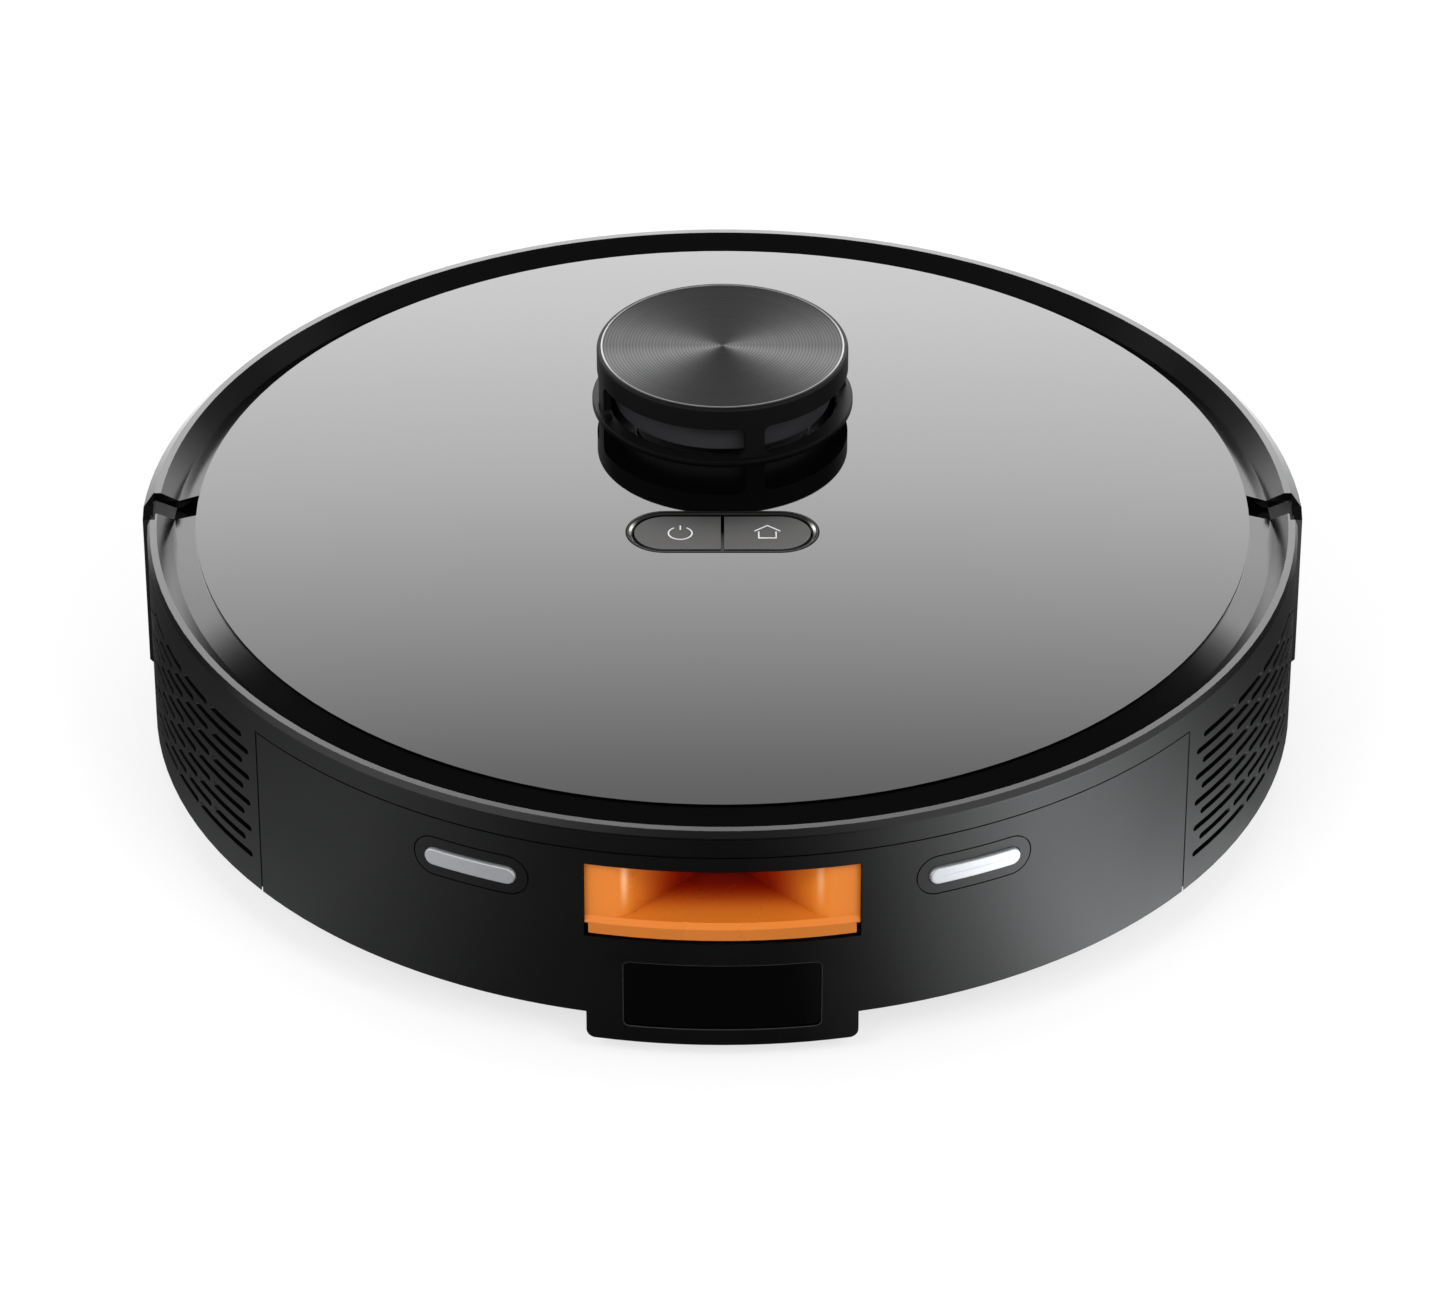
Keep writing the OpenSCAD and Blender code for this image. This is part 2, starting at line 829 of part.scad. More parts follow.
// Plate that carries the drum's bearing pin and the lidar motor, hung from the deck on posts
module lidar_base() {
    color(graphite)
        translate([0, turret_y, 0])
            difference() {
                union() {
                    translate([0, 0, plate_z])
                        linear_extrude(2.5)
                            pear_outline(drum_r + 8.5, 14, motor_off);
                    for (turn = [60, 180, 300])
                        rotate([0, 0, turn])
                            translate([drum_r + 6, 0, plate_z])
                                cylinder(r = 2.4, h = deck_low_z - plate_z);
                    translate([0, 0, plate_z])
                        cylinder(r = 7, h = 3.3);
                    translate([0, 0, plate_z])
                        cylinder(r = 4, h = 15);
                }
                translate([motor_off, 0, 0])
                    cylinder(r = 1.7, h = top_z);
            }
}

module lidar_motor() {
    color(silver)
        translate([motor_off, turret_y, 0]) {
            translate([0, 0, plate_z - 14])
                cylinder(r = 10, h = 14);
            translate([0, 0, plate_z - 1])
                cylinder(r = 1.5, h = 9.5);
        }
}

module lidar_pulley() {
    low = plate_z + 4.2;
    color(graphite)
        translate([motor_off, turret_y, 0])
            rotate_extrude()
                polygon([
                    [1.5 + pin_fit, low - 0.6], [motor_wheel_r + 1.2, low - 0.6],
                    [motor_wheel_r + 1.2, low], [motor_wheel_r - 0.5, low],
                    [motor_wheel_r - 0.5, low + 3], [motor_wheel_r + 1.2, low + 3],
                    [motor_wheel_r + 1.2, low + 3.6], [1.5 + pin_fit, low + 3.6]
                ]);
}

module lidar_belt() {
    low = plate_z + 4.2;
    gap = run_gap - 0.5;
    color(jet)
        translate([0, turret_y, low + run_gap])
            belt_loop(drum_wheel_r + gap, motor_wheel_r + gap, motor_off, 1, 3 - 2 * run_gap);
}

// Spinning drum: belt wheel, hub on the bearing pin and the hollow head behind the windows
module lidar_drum() {
    low = plate_z + 4.2;
    head_low = deck_z + 1.1;
    head_top = top_z - 3.4;
    color(graphite)
        translate([0, turret_y, 0])
            difference() {
                rotate_extrude()
                    polygon([
                        [4 + pin_fit, low - 0.6], [drum_wheel_r + 1.2, low - 0.6],
                        [drum_wheel_r + 1.2, low], [drum_wheel_r - 0.5, low],
                        [drum_wheel_r - 0.5, low + 3], [drum_wheel_r + 1.2, low + 3],
                        [drum_wheel_r + 1.2, low + 3.6], [10, low + 3.6], [10, head_low],
                        [drum_r - 0.6, head_low], [drum_r, head_low + 0.6],
                        [drum_r, head_top - 1], [drum_r - 1, head_top], [0, head_top],
                        [0, head_top - 2], [drum_r - 2.5, head_top - 2],
                        [drum_r - 2.5, head_low + 2], [0, head_low + 2],
                        [0, plate_z + 16], [4 + pin_fit, plate_z + 16]
                    ]);
                for (lens = lens_table)
                    translate([lens[0], 0, deck_z + lens_h])
                        rotate([-90, 0, 0])
                            cylinder(r = lens[1] + 0.02, h = far);
            }
}

lens_h = 8.4;
lens_table = [[-10, 3.6], [9, 4.8]];

// Laser and receiver lenses in the drum's face
module lidar_lenses() {
    color(jet)
        for (lens = lens_table)
            translate([lens[0], turret_y, deck_z + lens_h])
                rotate([-90, 0, 0]) {
                    translate([0, 0, drum_r - 6])
                        cylinder(r = lens[1], h = 4.8);
                    translate([0, 0, drum_r - 9])
                        cylinder(r = lens[1] * 0.6, h = 4);
                }
}

// ---- inside the body ----

module grille_screens() {
    color(jet)
        for (side = [-1, 1])
            intersection() {
                ring(inner_r - run_gap, inner_r - run_gap - 0.8, skirt_z + 1, deck_z - 10);
                block([side > 0 ? 100 : -far, -wing_front + 1, 0], [side > 0 ? far : -100, -15, top_z]);
            }
}

// Eight round cells in one pack
module battery() {
    cell_d = 18.4;
    pitch = cell_d + 0.2;
    color("#2a4f7c") {
        for (k = [0 : 7])
            translate([(k - 3.5) * pitch, 104, pan_top_z + 0.2 + cell_d / 2])
                rotate([90, 0, 0])
                    cylinder(d = cell_d, h = 64);
        block([-3.5 * pitch, 40.2, pan_top_z + 5], [3.5 * pitch, 103.8, pan_top_z + 14]);
    }
}

module battery_cover() {
    color(black)
        difference() {
            union() {
                block([-76.6, 39.4, belly_z], [76.6, 104.6, belly_z + 2.2]);
                for (side = [-1, 1])
                    block([side > 0 ? 70 : -80, 66, pan_top_z - 0.8], [side > 0 ? 76.6 : -70, 78, pan_top_z]);
            }
            for (side = [-1, 1])
                block([side > 0 ? 76.6 : -far, 60, 0], [side > 0 ? far : -76.6, 80, top_z]);
            // ribs left between shallow grooves
            for (k = [-5 : 5])
                block([k * 9 - 2, 48, belly_z - cut], [k * 9 + 2, 58, belly_z + 0.6]);
        }
}

module main_board() {
    board_z = 58;
    color(board_green)
        translate([25, 0, board_z])
            linear_extrude(1.6)
                rounded(124, 40, 3);
    color(jet) {
        block([-20, -8, board_z + 1.5], [-4, 8, board_z + 3.6]);
        block([18, -6, board_z + 1.5], [42, 6, board_z + 3]);
        for (k = [0 : 3])
            translate([54 + k * 6, 10, board_z + 1.5])
                cylinder(r = 2.4, h = 8);
    }
    color(graphite)
        for (x = [-30, 80], y = [-13, 13])
            translate([x, y, 52])
                cylinder(r = 2.2, h = board_z - 52 + cut);
}

// Loudspeaker behind the right grille
module speaker() {
    color(jet)
        translate([fan_x, -fan_back, 36])
            rotate([0, 90, 0])
                rotate_extrude()
                    polygon([
                        [0, 0], [12, 0], [12, 8], [20, 14], [22, 14], [22, 17], [19, 17],
                        [9, 9], [0, 9]
                    ]);
    color(jet)
        difference() {
            block([fan_x + 2, -fan_back - 10, pan_top_z], [fan_x + 6, -fan_back + 10, 26]);
            translate([fan_x - 5, -fan_back, 36])
                rotate([0, 90, 0])
                    cylinder(r = 12, h = 30);
        }
}

// Round case with an inlet duct from the bin and a short outlet towards the left grille
module fan_housing() {
    case_r = impeller_r + 2.6;
    color(graphite)
        translate([-fan_x, -fan_back, 0])
            difference() {
                union() {
                    translate([0, 0, pan_top_z])
                        cylinder(r = case_r - 7, h = 6);
                    translate([0, 0, pan_top_z + 4])
                        cylinder(r = case_r, h = 40);
                    block([impeller_r - 4, -16, pan_top_z + 10],
                        [fan_x - bin_x - rail_gap - bay_wall, 16, 52]);
                    block([-case_r - 3, -8, 32], [-case_r + 6, 8, 52]);
                }
                translate([0, 0, pan_top_z + 6])
                    cylinder(r = impeller_r + 0.6, h = 36);
                block([impeller_r - 6, -13, 26], [far, 13, 48]);
                block([-far, -6, 34], [-10, 6, 50]);
            }
}

module fan_motor() {
    color(silver)
        translate([-fan_x, -fan_back, pan_top_z + 6]) {
            cylinder(r = 12, h = 12);
            cylinder(r = 1.5, h = 28);
        }
}

// One backward-curved blade: a thin arc from the hub to the rim
module blade(high) {
    arc_r = impeller_r * 0.857;
    first = 172.4;
    step = 7.3;
    translate([impeller_r * 1.09, -impeller_r * 0.114, 0])
        linear_extrude(high)
            polygon(concat(
                [for (k = [0 : 8]) (arc_r + 0.5) * [cos(first + step * k), sin(first + step * k)]],
                [for (k = [8 : -1 : 0]) (arc_r - 0.5) * [cos(first + step * k), sin(first + step * k)]]
            ));
}

module impeller() {
    low = pan_top_z + 20.5;
    color(black)
        translate([-fan_x, -fan_back, 0]) {
            rotate_extrude()
                polygon([
                    [1.5 + pin_fit, low], [impeller_r, low], [impeller_r, low + 1.2], [8, low + 1.8],
                    [5.5, low + 10.5], [1.5 + pin_fit, low + 10.5]
                ]);
            translate([0, 0, low + 1])
                for (k = [0 : blades - 1])
                    rotate([0, 0, k * 360 / blades])
                        blade(8);
            ring(impeller_r, impeller_r - 7, low + 8.8, low + 10);
        }
}

// ---- main brush ----

// Tunnel over the brush, its exit towards the bin and the flange it stands on
module brush_housing() {
    exit_z = [32, 58];
    color(graphite)
        difference() {
            union() {
                difference() {
                    union() {
                        block([-90, -29, pan_top_z], [90, 31, 52]);
                        block([-102, -38, pan_top_z], [102, 37.5, pan_top_z + 2]);
                        block([-47, -bin_front + 4.5, exit_z[0]], [47, -20, exit_z[1]]);
                    }
                    along_x(-87, 87)
                        union() {
                            translate([0, brush_z])
                                circle(r = brush_r + 3);
                            translate([-brush_r - 3, 0])
                                square([2 * (brush_r + 3), brush_z]);
                        }
                    block([-45, -far / 4, exit_z[0] + 2], [45, 0, exit_z[1] - 2]);
                    for (side = [-1, 1])
                        translate([side * 95, 20, 0])
                            cylinder(r = 2, h = 40);
                }
                // bosses on the end walls that the brush's pins turn in
                translate([0, 0, brush_z])
                    for (side = [-1, 1])
                        rod_x(9, side > 0 ? brush_x + run_gap : -88, side > 0 ? 88 : -brush_x - run_gap);
            }
            translate([0, 0, brush_z])
                rod_x(3 + pin_fit, -88.5, 88.5);
        }
}

module brush_core() {
    color(graphite)
        translate([0, 0, brush_z]) {
            rod_x(8, -brush_x, brush_x);
            rod_x(3, -brush_x - 4.6, brush_x + 4.6);
        }
}

// Rubber fins in a chevron: each half of the fins winds the other way
module brush_blades() {
    fin_t = 1.8;
    turns = 70;
    color(jet)
        translate([0, 0, brush_z])
            for (side = [-1, 1])
                rotate([0, 90, 0])
                    mirror([0, 0, side > 0 ? 0 : 1])
                        linear_extrude(brush_x - 2, twist = side * turns, slices = 16, $fn = 8)
                            for (k = [0 : brush_fins - 1])
                                rotate([0, 0, k * 360 / brush_fins])
                                    translate([8, -fin_t / 2])
                                        square([brush_r - 8, fin_t]);
}

// Frame below the tunnel, with guard bars that keep rugs out and pins to swing on
module brush_cover() {
    bars = 5;
    color(black)
        difference() {
            union() {
                block([-97, cover_back_y + cover_pin_r, belly_z], [97, 30, belly_z + 2.6]);
                translate([0, cover_back_y, cover_pin_z])
                    rod_x(cover_pin_r, -101, 101);
                block([-97, cover_back_y, cover_pin_z - cover_pin_r],
                    [97, cover_back_y + 2, cover_pin_z + cover_pin_r]);
                for (side = [-1, 1])
                    block([side * 60 - 9, 22, belly_z - 1.2], [side * 60 + 9, 28, belly_z + cut]);
            }
            block([-84, -23.5, 0], [84, 20.5, top_z]);
        }
    color(black)
        for (k = [0 : bars - 1])
            translate([(k - (bars - 1) / 2) * 34 - 1.2, 0, 0])
                along_x(0, 2.4)
                    difference() {
                        polygon([
                            [-24.5, belly_z + 1.5], [-24.5, belly_z - 0.6], [-15, belly_z - 2.8],
                            [13, belly_z - 2.8], [22, belly_z - 0.6], [22, belly_z + 1.5]
                        ]);
                        translate([0, brush_z])
                            circle(r = brush_r + 0.5);
                    }
}

// Motor can above the tunnel and the gear case at its left end
module brush_motor() {
    case_x = -90;
    color(graphite) {
        along_x(case_x - 11, case_x)
            union() {
                translate([0, brush_z])
                    circle(r = 12);
                translate([6, 60])
                    circle(r = 11.5);
                polygon([[-11.5, brush_z], [12, brush_z], [17.5, 60], [-5.5, 60]]);
            }
        translate([0, 6, 62])
            rod_x(9.5, case_x - 1, -42);
    }
}

// Soft frame between the tunnel's exit and the bin
module inlet_seal() {
    color(jet)
        difference() {
            block([-49, -bin_front + run_gap, 31], [49, -bin_front + rail_gap, 59]);
            block([-45, -far / 4, 34], [45, 0, 56]);
        }
}

// ---- side brush ----

module side_brush_motor() {
    color(graphite)
        translate([side_x, side_y, pan_top_z])
            difference() {
                union() {
                    cylinder(r = 6.5, h = 6);
                    translate([0, 0, 5])
                        cylinder(r = 13.5, h = 20);
                    translate([0, 0, 24])
                        cylinder(r = 9, h = 8);
                }
                translate([0, 0, -1])
                    cylinder(r = 3 + pin_fit, h = 13);
            }
}

module side_brush_hub() {
    color(graphite)
        translate([side_x, side_y, 0]) {
            rotate_extrude()
                polygon([
                    [0, 4], [8, 4], [12, 5.5], [12, belly_z - run_gap], [0, belly_z - run_gap]
                ]);
            translate([0, 0, 5])
                cylinder(r = 3, h = pan_top_z + 5);
            for (k = [0 : 2])
                rotate([0, 0, 45 + 120 * k])
                    block([9, -3, 4.6], [30, 3, 7.4]);
        }
}

// Three fans of bristles, widening outwards
module side_brush_bristles() {
    color(jet)
        translate([side_x, side_y, 3])
            for (k = [0 : 2])
                rotate([0, 0, 45 + 120 * k])
                    linear_extrude(1.5)
                        polygon([
                            [22, -2.4], [side_reach - 2, -6], [side_reach, 0],
                            [side_reach - 2, 6], [22, 2.4]
                        ]);
}

module cliff_pockets(inset) {
    for (turn = [-58, -20, 20, 58])
        rotate([0, 0, turn])
            translate([0, front_r - 18, belly_z - 1])
                linear_extrude(2.2)
                    rounded(20 - 2 * inset, 9 - 2 * inset, 2);
}

module cliff_windows() {
    color(jet)
        intersection() {
            cliff_pockets(0.1);
            block([-far, -far, belly_z + 0.1], [far, far, belly_z + 1.2]);
        }
}

// ---- drive wheels ----

module wheel_housing(side) {
    mirror([side > 0 ? 0 : 1, 0, 0])
        difference() {
            block([well_in_x, well_back_y, pan_top_z], [well_out_x, well_front_y, 71.5]);
            block([well_in_x + 2, well_back_y + 2, 0], [well_out_x - 2, well_front_y - 2, 69.5]);
            translate([0, arm_l, pivot_z])
                rod_x(2.5 + pin_fit, well_in_x - 1, well_out_x + 1);
        }
}

pivot_z = tyre_r + 2;

module wheel_housings() {
    color(graphite)
        for (side = [-1, 1])
            wheel_housing(side);
}

// Swing arm with its gearbox, pivot pin and wheel axle
module swing_arm() {
    arm_in = well_in_x + 2.8;
    arm_out = wheel_in_x - 2.7;
    along_x(arm_in, arm_out)
        union() {
            translate([arm_l, pivot_z])
                circle(r = 4.4);
            translate([0, tyre_r])
                circle(r = 17);
            polygon([
                [arm_l, pivot_z + 4.3], [arm_l, pivot_z - 4.3], [4, tyre_r - 16], [4, tyre_r + 16]
            ]);
        }
    translate([0, arm_l, pivot_z])
        rod_x(2.5, well_in_x + 0.1, well_out_x - 0.1);
    translate([0, 0, tyre_r])
        rod_x(4, arm_out - 1, wheel_x + tyre_w / 2 - 1);
}

module arm_right() {
    color(graphite)
        swing_arm();
}

module arm_left() {
    color(graphite)
        mirror([1, 0, 0])
            swing_arm();
}

// Torsion spring round the pivot pin: close coils and a leg along the arm
module suspension_spring() {
    coils = 6;
    wire_r = 0.6;
    coil_r = 2.5 + run_gap + wire_r;
    translate([wheel_x - 8, arm_l, pivot_z]) {
        for (k = [0 : coils - 1])
            translate([k * 2 * wire_r * 0.95, 0, 0])
                rotate([0, 90, 0])
                    rotate_extrude($fn = 32)
                        translate([coil_r, 0])
                            circle(r = wire_r, $fn = 16);
        translate([0, 0, coil_r])
            rod_x(wire_r, wheel_in_x - 2.7 - wheel_x + 8, 0);
    }
}

module spring_right() {
    color(silver)
        suspension_spring();
}

module spring_left() {
    color(silver)
        mirror([1, 0, 0])
            suspension_spring();
}

module hub_profile() {
    half = tyre_w / 2 - 1;
    rim = tyre_r - 5.6;
    polygon([
        [4 + pin_fit, -half + 0.5], [9, -half + 0.5], [9, -1.5], [rim - 2.4, -2.5], [rim - 2.4, -half],
        [rim, -half], [rim, half], [rim - 2.4, half], [rim - 2.4, 3], [9, 2.5], [9, half - 1],
        [4 + pin_fit, half - 1]
    ]);
}

module drive_hub(side) {
    color(graphite)
        translate([side * wheel_x, 0, tyre_r])
            rotate([0, 90 * side, 0])
                difference() {
                    rotate_extrude()
                        hub_profile();
                    for (k = [0 : 5])
                        rotate([0, 0, 60 * k])
                            translate([(tyre_r - 1) / 2, 0, -far / 2])
                                cylinder(r = (tyre_r - 24.8) / 2, h = far);
                }
}

module hub_left() {
    drive_hub(-1);
}

module hub_right() {
    drive_hub(1);
}

module drive_tyre(side) {
    half = tyre_w / 2;
    color(jet)
        translate([side * wheel_x, 0, tyre_r])
            rotate([0, 90, 0])
                difference() {
                    rotate_extrude()
                        polygon([
                            [tyre_r - 5.55, -half], [tyre_r - 1.5, -half], [tyre_r, -half + 2],
                            [tyre_r, half - 2], [tyre_r - 1.5, half], [tyre_r - 5.55, half]
                        ]);
                    for (k = [0 : tyre_lugs - 1])
                        rotate([0, 0, (k + 0.5) * 360 / tyre_lugs])
                            block([tyre_r - 1.6, -1.3, -far / 2], [tyre_r + 1, 1.3, far / 2]);
                }
}

module tyre_left() {
    drive_tyre(-1);
}

module tyre_right() {
    drive_tyre(1);
}

// ---- caster ----

caster_wheel_y = caster_y - caster_trail;
fork_top = 31;

module caster_socket() {
    cup_r = fork_r + 0.4;
    color(graphite)
        translate([0, caster_y, 0])
            rotate_extrude()
                polygon([
                    [cup_r, belly_z], [cup_r + 2.2, belly_z], [cup_r + 2.2, pan_top_z],
                    [cup_r + 5.4, pan_top_z], [cup_r + 5.4, pan_top_z + 2], [cup_r + 2.2, pan_top_z + 2],
                    [cup_r + 2.2, fork_top + 2.6], [8, fork_top + 2.6], [8, fork_top + 9],
                    [3 + pin_fit, fork_top + 9], [3 + pin_fit, fork_top + run_gap],
                    [cup_r, fork_top + run_gap]
                ]);
}

module caster_fork() {
    slot_x = caster_w / 2 + 0.8;
    slot_r = caster_r + 1.4;
    color(black)
        difference() {
            translate([0, caster_y, 0])
                rotate_extrude()
                    polygon([
                        [0, belly_z], [fork_r - 3, belly_z], [fork_r, belly_z + 2], [fork_r, fork_top],
                        [3, fork_top], [3, fork_top + 8], [0, fork_top + 8]
                    ]);
            translate([0, caster_wheel_y, caster_r]) {
                rod_x(slot_r, -slot_x, slot_x);
                block([-slot_x, -slot_r, -caster_r], [slot_x, slot_r, 0]);
                rod_x(2, -fork_r - 1, 12);
            }
        }
}

module caster_axle() {
    color(silver)
        translate([0, caster_wheel_y, caster_r])
            rod_x(2, -12, 12);
}

module caster_wheel() {
    half = caster_w / 2;
    color(black)
        translate([0, caster_wheel_y, caster_r])
            rotate([0, 90, 0])
                rotate_extrude()
                    polygon([
                        [2 + pin_fit, -half + 1], [5, -half + 1], [5, -half + 3], [9, -half + 3],
                        [9, -half], [caster_r - 1.2, -half], [caster_r, -half + 1.2],
                        [caster_r, half - 1.2], [caster_r - 1.2, half], [9, half], [9, half - 3],
                        [5, half - 3], [5, half - 1], [2 + pin_fit, half - 1]
                    ]);
}

// ---- rear module ----

bin_top_z = fascia_z - 4.3;
port_top_z = port_z + port_h;

module ir_outline(grow) {
    translate([0, ir_z + ir_h / 2])
        rounded(2 * ir_x + 2 * grow, ir_h + 2 * grow, 2);
}

module dust_bin() {
    color(black)
        difference() {
            union() {
                difference() {
                    translate([0, 0, pan_top_z - cut])
                        linear_extrude(bin_top_z - pan_top_z + cut)
                            module_outline(0);
                    // bin, port chamber and the two wings are hollow
                    block([-bin_x + wall, -port_wall, pan_top_z], [bin_x - wall, -bin_front - wall, top_z]);
                    translate([0, 0, skirt_z])
                        linear_extrude(far)
                            intersection() {
                                circle(r = inner_r, $fn = 240);
                                translate([-bin_x + wall, -far])
                                    square([2 * (bin_x - wall), far - port_wall - wall]);
                            }
                    translate([0, 0, skirt_z])
                        linear_extrude(far)
                            difference() {
                                module_outline(wall);
                                translate([-bin_x, -far])
                                    square([2 * bin_x, 2 * far]);
                            }
                    difference() {
                        block([-far, -far, 0], [far, 0, skirt_z]);
                        cylinder(r = pan_flat_r, h = far, $fn = 240);
                    }
                }
                intersection() {
                    rotate_extrude($fn = 240)
                        polygon([
                            [0, belly_z], [pan_flat_r, belly_z], [body_r, skirt_z], [body_r, skirt_z + cut],
                            [pan_flat_r - 12, skirt_z + cut], [pan_flat_r - 12, pan_top_z], [0, pan_top_z]
                        ]);
                    linear_extrude(far)
                        module_outline(0);
                }
                intersection() {
                    ring(body_r, inner_r, skirt_z, fascia_z);
                    block([-fascia_x, -far, 0], [fascia_x, -wing_front, top_z]);
                }
                // tongue that hangs below the fascia
                intersection() {
                    ring(body_r, body_r - 7, tongue_z, skirt_z + 1);
                    along_y(-far, 0)
                        translate([0, tongue_z + 10])
                            rounded(2 * tongue_x, 20, 2.5);
                }
                bin_ribs();
                flap_ears();
            }
            port_opening(0);
            // throat through the bin's rear wall
            block([-throat_x, -port_wall - wall - cut, port_z + port_sill],
                [throat_x, -port_wall + cut, port_top_z - 0.3]);
            intersection() {
                ring(far, body_r - 1.8, 0, top_z);
                along_y(-far, 0)
                    ir_outline(0);
            }
            for (side = [-1, 1])
                at_wall(side * contact_turn) {
                    contact_groove();
                    translate([0, contact_z, 0])
                        linear_extrude(far)
                            stadium(contact_l + 0.5, contact_h + 0.5);
                }
            block([-45, -bin_front - wall - cut, 34], [45, -bin_front + cut, 56]);
            block([-bin_x - cut, -fan_back - 13, 26], [-bin_x + wall + cut, -fan_back + 13, 48]);
        }
}

// Shallow groove that rounds off the pad behind a contact
module contact_groove() {
    difference() {
        translate([0, contact_z, 0])
            linear_extrude(far)
                difference() {
                    stadium(contact_l + 2 * pad_rim + 2 * seam, contact_h + 2 * pad_rim + 2 * seam);
                    stadium(contact_l + 2 * pad_rim, contact_h + 2 * pad_rim);
                }
        rotate([-90, 0, 0])
            cylinder(r = body_r - 1.2, h = far, center = true, $fn = 240);
    }
}

module port_opening(inset) {
    along_y(-far, -port_wall - wall - 8)
        translate([-port_x + inset, port_z + inset])
            square([2 * (port_x - inset), port_h - 2 * inset]);
}

module bin_ribs() {
    for (side = [-1, 1])
        block([side > 0 ? bin_x - cut : -bin_x - rail_gap + 0.4, -wing_front + 1, rib_z],
            [side > 0 ? bin_x + rail_gap - 0.4 : -bin_x + cut, -bin_front - 4, rib_z + rib_t]);
}

flap_y = -bin_front - wall - 1.2;
flap_z = 59;

// Ears inside the bin that the inlet flap's pins turn in
module flap_ears() {
    difference() {
        for (side = [-1, 1])
            block([side * 49 - 1, -bin_front - wall - 3.4, flap_z - 3],
                [side * 49 + 1, -bin_front - wall + cut, flap_z + 3]);
        translate([0, flap_y, flap_z])
            rod_x(1 + pin_fit, -60, 60);
    }
}

module inlet_flap() {
    color(graphite) {
        block([-47.6, flap_y - 0.8, 32], [47.6, flap_y + 0.8, flap_z]);
        translate([0, flap_y, flap_z])
            rod_x(1, -49.9, 49.9);
    }
}

module bin_lid() {
    low_x = bin_x - wall - 0.3;
    color(graphite)
        difference() {
            union() {
                block([-bin_x + 0.4, -port_wall - wall, bin_top_z],
                    [bin_x - 0.4, -bin_front - 0.4, bin_top_z + 2]);
                block([-low_x, -port_wall + 0.3, bin_top_z - 2],
                    [low_x, -bin_front - wall - 4, bin_top_z + cut]);
            }
            block([2.2 - low_x, -port_wall + 2.5, bin_top_z - 3],
                [low_x - 2.2, -bin_front - wall - 6, bin_top_z]);
            // finger recess
            translate([0, -bin_front - 40, bin_top_z + 1])
                linear_extrude(2)
                    stadium(50, 18);
        }
}

filter_x = [-bin_x + wall + run_gap, -bin_x + wall + 13];
filter_y = [-fan_back - 34, -fan_back + 14];
filter_z = [pan_top_z, 56];

module filter_frame() {
    low = [filter_x[0], filter_y[0], filter_z[0]];
    high = [filter_x[1], filter_y[1], filter_z[1]];
    rim = [0, 3, 3];
    color(silver)
        difference() {
            block(low, high);
            block(low + rim - [1, 0, 0], high - rim + [1, 0, 0]);
        }
}

// Pleated paper: a zigzag sheet that fills the frame
module filter_pleats() {
    folds = 12;
    depth = filter_x[1] - filter_x[0] - 2;
    pitch = (filter_y[1] - filter_y[0] - 6.2) / folds;
    thick = 0.9;
    color("#e8e6df")
        translate([filter_x[0] + 1, filter_y[0] + 3.1, filter_z[0] + 3.1])
            linear_extrude(filter_z[1] - filter_z[0] - 6.2)
                polygon(concat(
                    [for (k = [0 : folds]) [k % 2 == 0 ? 0 : depth - thick, k * pitch]],
                    [for (k = [folds : -1 : 0]) [k % 2 == 0 ? thick : depth, k * pitch]]
                ));
}

// Plan of the air space in the funnel: rounded shoulders, then straight sides to the throat
module funnel_plan() {
    face_y = -body_r + 4.8;
    throat_y = face_y + (mouth_x - throat_x) * 1.1;
    back_y = -port_wall - wall;
    turn = atan2(throat_y - face_y, mouth_x - throat_x);
    shoulder_r = 8;
    reach = shoulder_r * tan(turn / 2);
    right = concat(
        [[far / 4, -body_r - 5], [far / 4, face_y]],
        [for (k = [0 : 8])
            [mouth_x + reach - shoulder_r * sin(turn * k / 8),
             face_y + shoulder_r - shoulder_r * cos(turn * k / 8)]],
        [[throat_x, throat_y], [throat_x, back_y + 1]]
    );
    polygon(concat(right, [for (k = [len(right) - 1 : -1 : 0]) [-right[k][0], right[k][1]]]));
}

module port_funnel() {
    lip_z = port_z + 4.5;
    floor_z = port_z + port_sill;
    back_y = -port_wall - wall;
    gap = 0.25;
    color(orange)
        difference() {
            intersection() {
                union() {
                    block([-port_x + gap, -far / 2, lip_z], [port_x - gap, back_y, port_top_z - gap]);
                    block([-port_x + 1.3, -far / 2, port_z + 1.1], [port_x - 1.3, back_y, lip_z + cut]);
                }
                // front follows the fascia, with a bevelled sill
                rotate_extrude($fn = 240)
                    polygon([
                        [0, 0], [body_r - 0.3, 0], [body_r - 0.3, lip_z], [body_r - 2, floor_z],
                        [body_r - 2, top_z], [0, top_z]
                    ]);
            }
            translate([0, 0, floor_z])
                linear_extrude(port_top_z - 1.6 - floor_z)
                    funnel_plan();
            translate([0, 0, floor_z])
                linear_extrude(far)
                    intersection() {
                        funnel_plan();
                        translate([-far / 2, -far])
                            square([far, far - body_r + 4.8]);
                    }
            translate([0, port_flap_y, port_flap_z])
                rod_x(0.8 + pin_fit, -throat_x - 3, throat_x + 3);
        }
}

port_flap_y = -port_wall - wall - 3;
port_flap_z = port_top_z - 3;

module port_flap() {
    color(orange) {
        block([-throat_x + 0.4, port_flap_y - 0.6, port_z + port_sill + 0.5],
            [throat_x - 0.4, port_flap_y + 0.6, port_flap_z]);
        translate([0, port_flap_y, port_flap_z])
            rod_x(0.8, -throat_x - 2.4, throat_x + 2.4);
    }
}

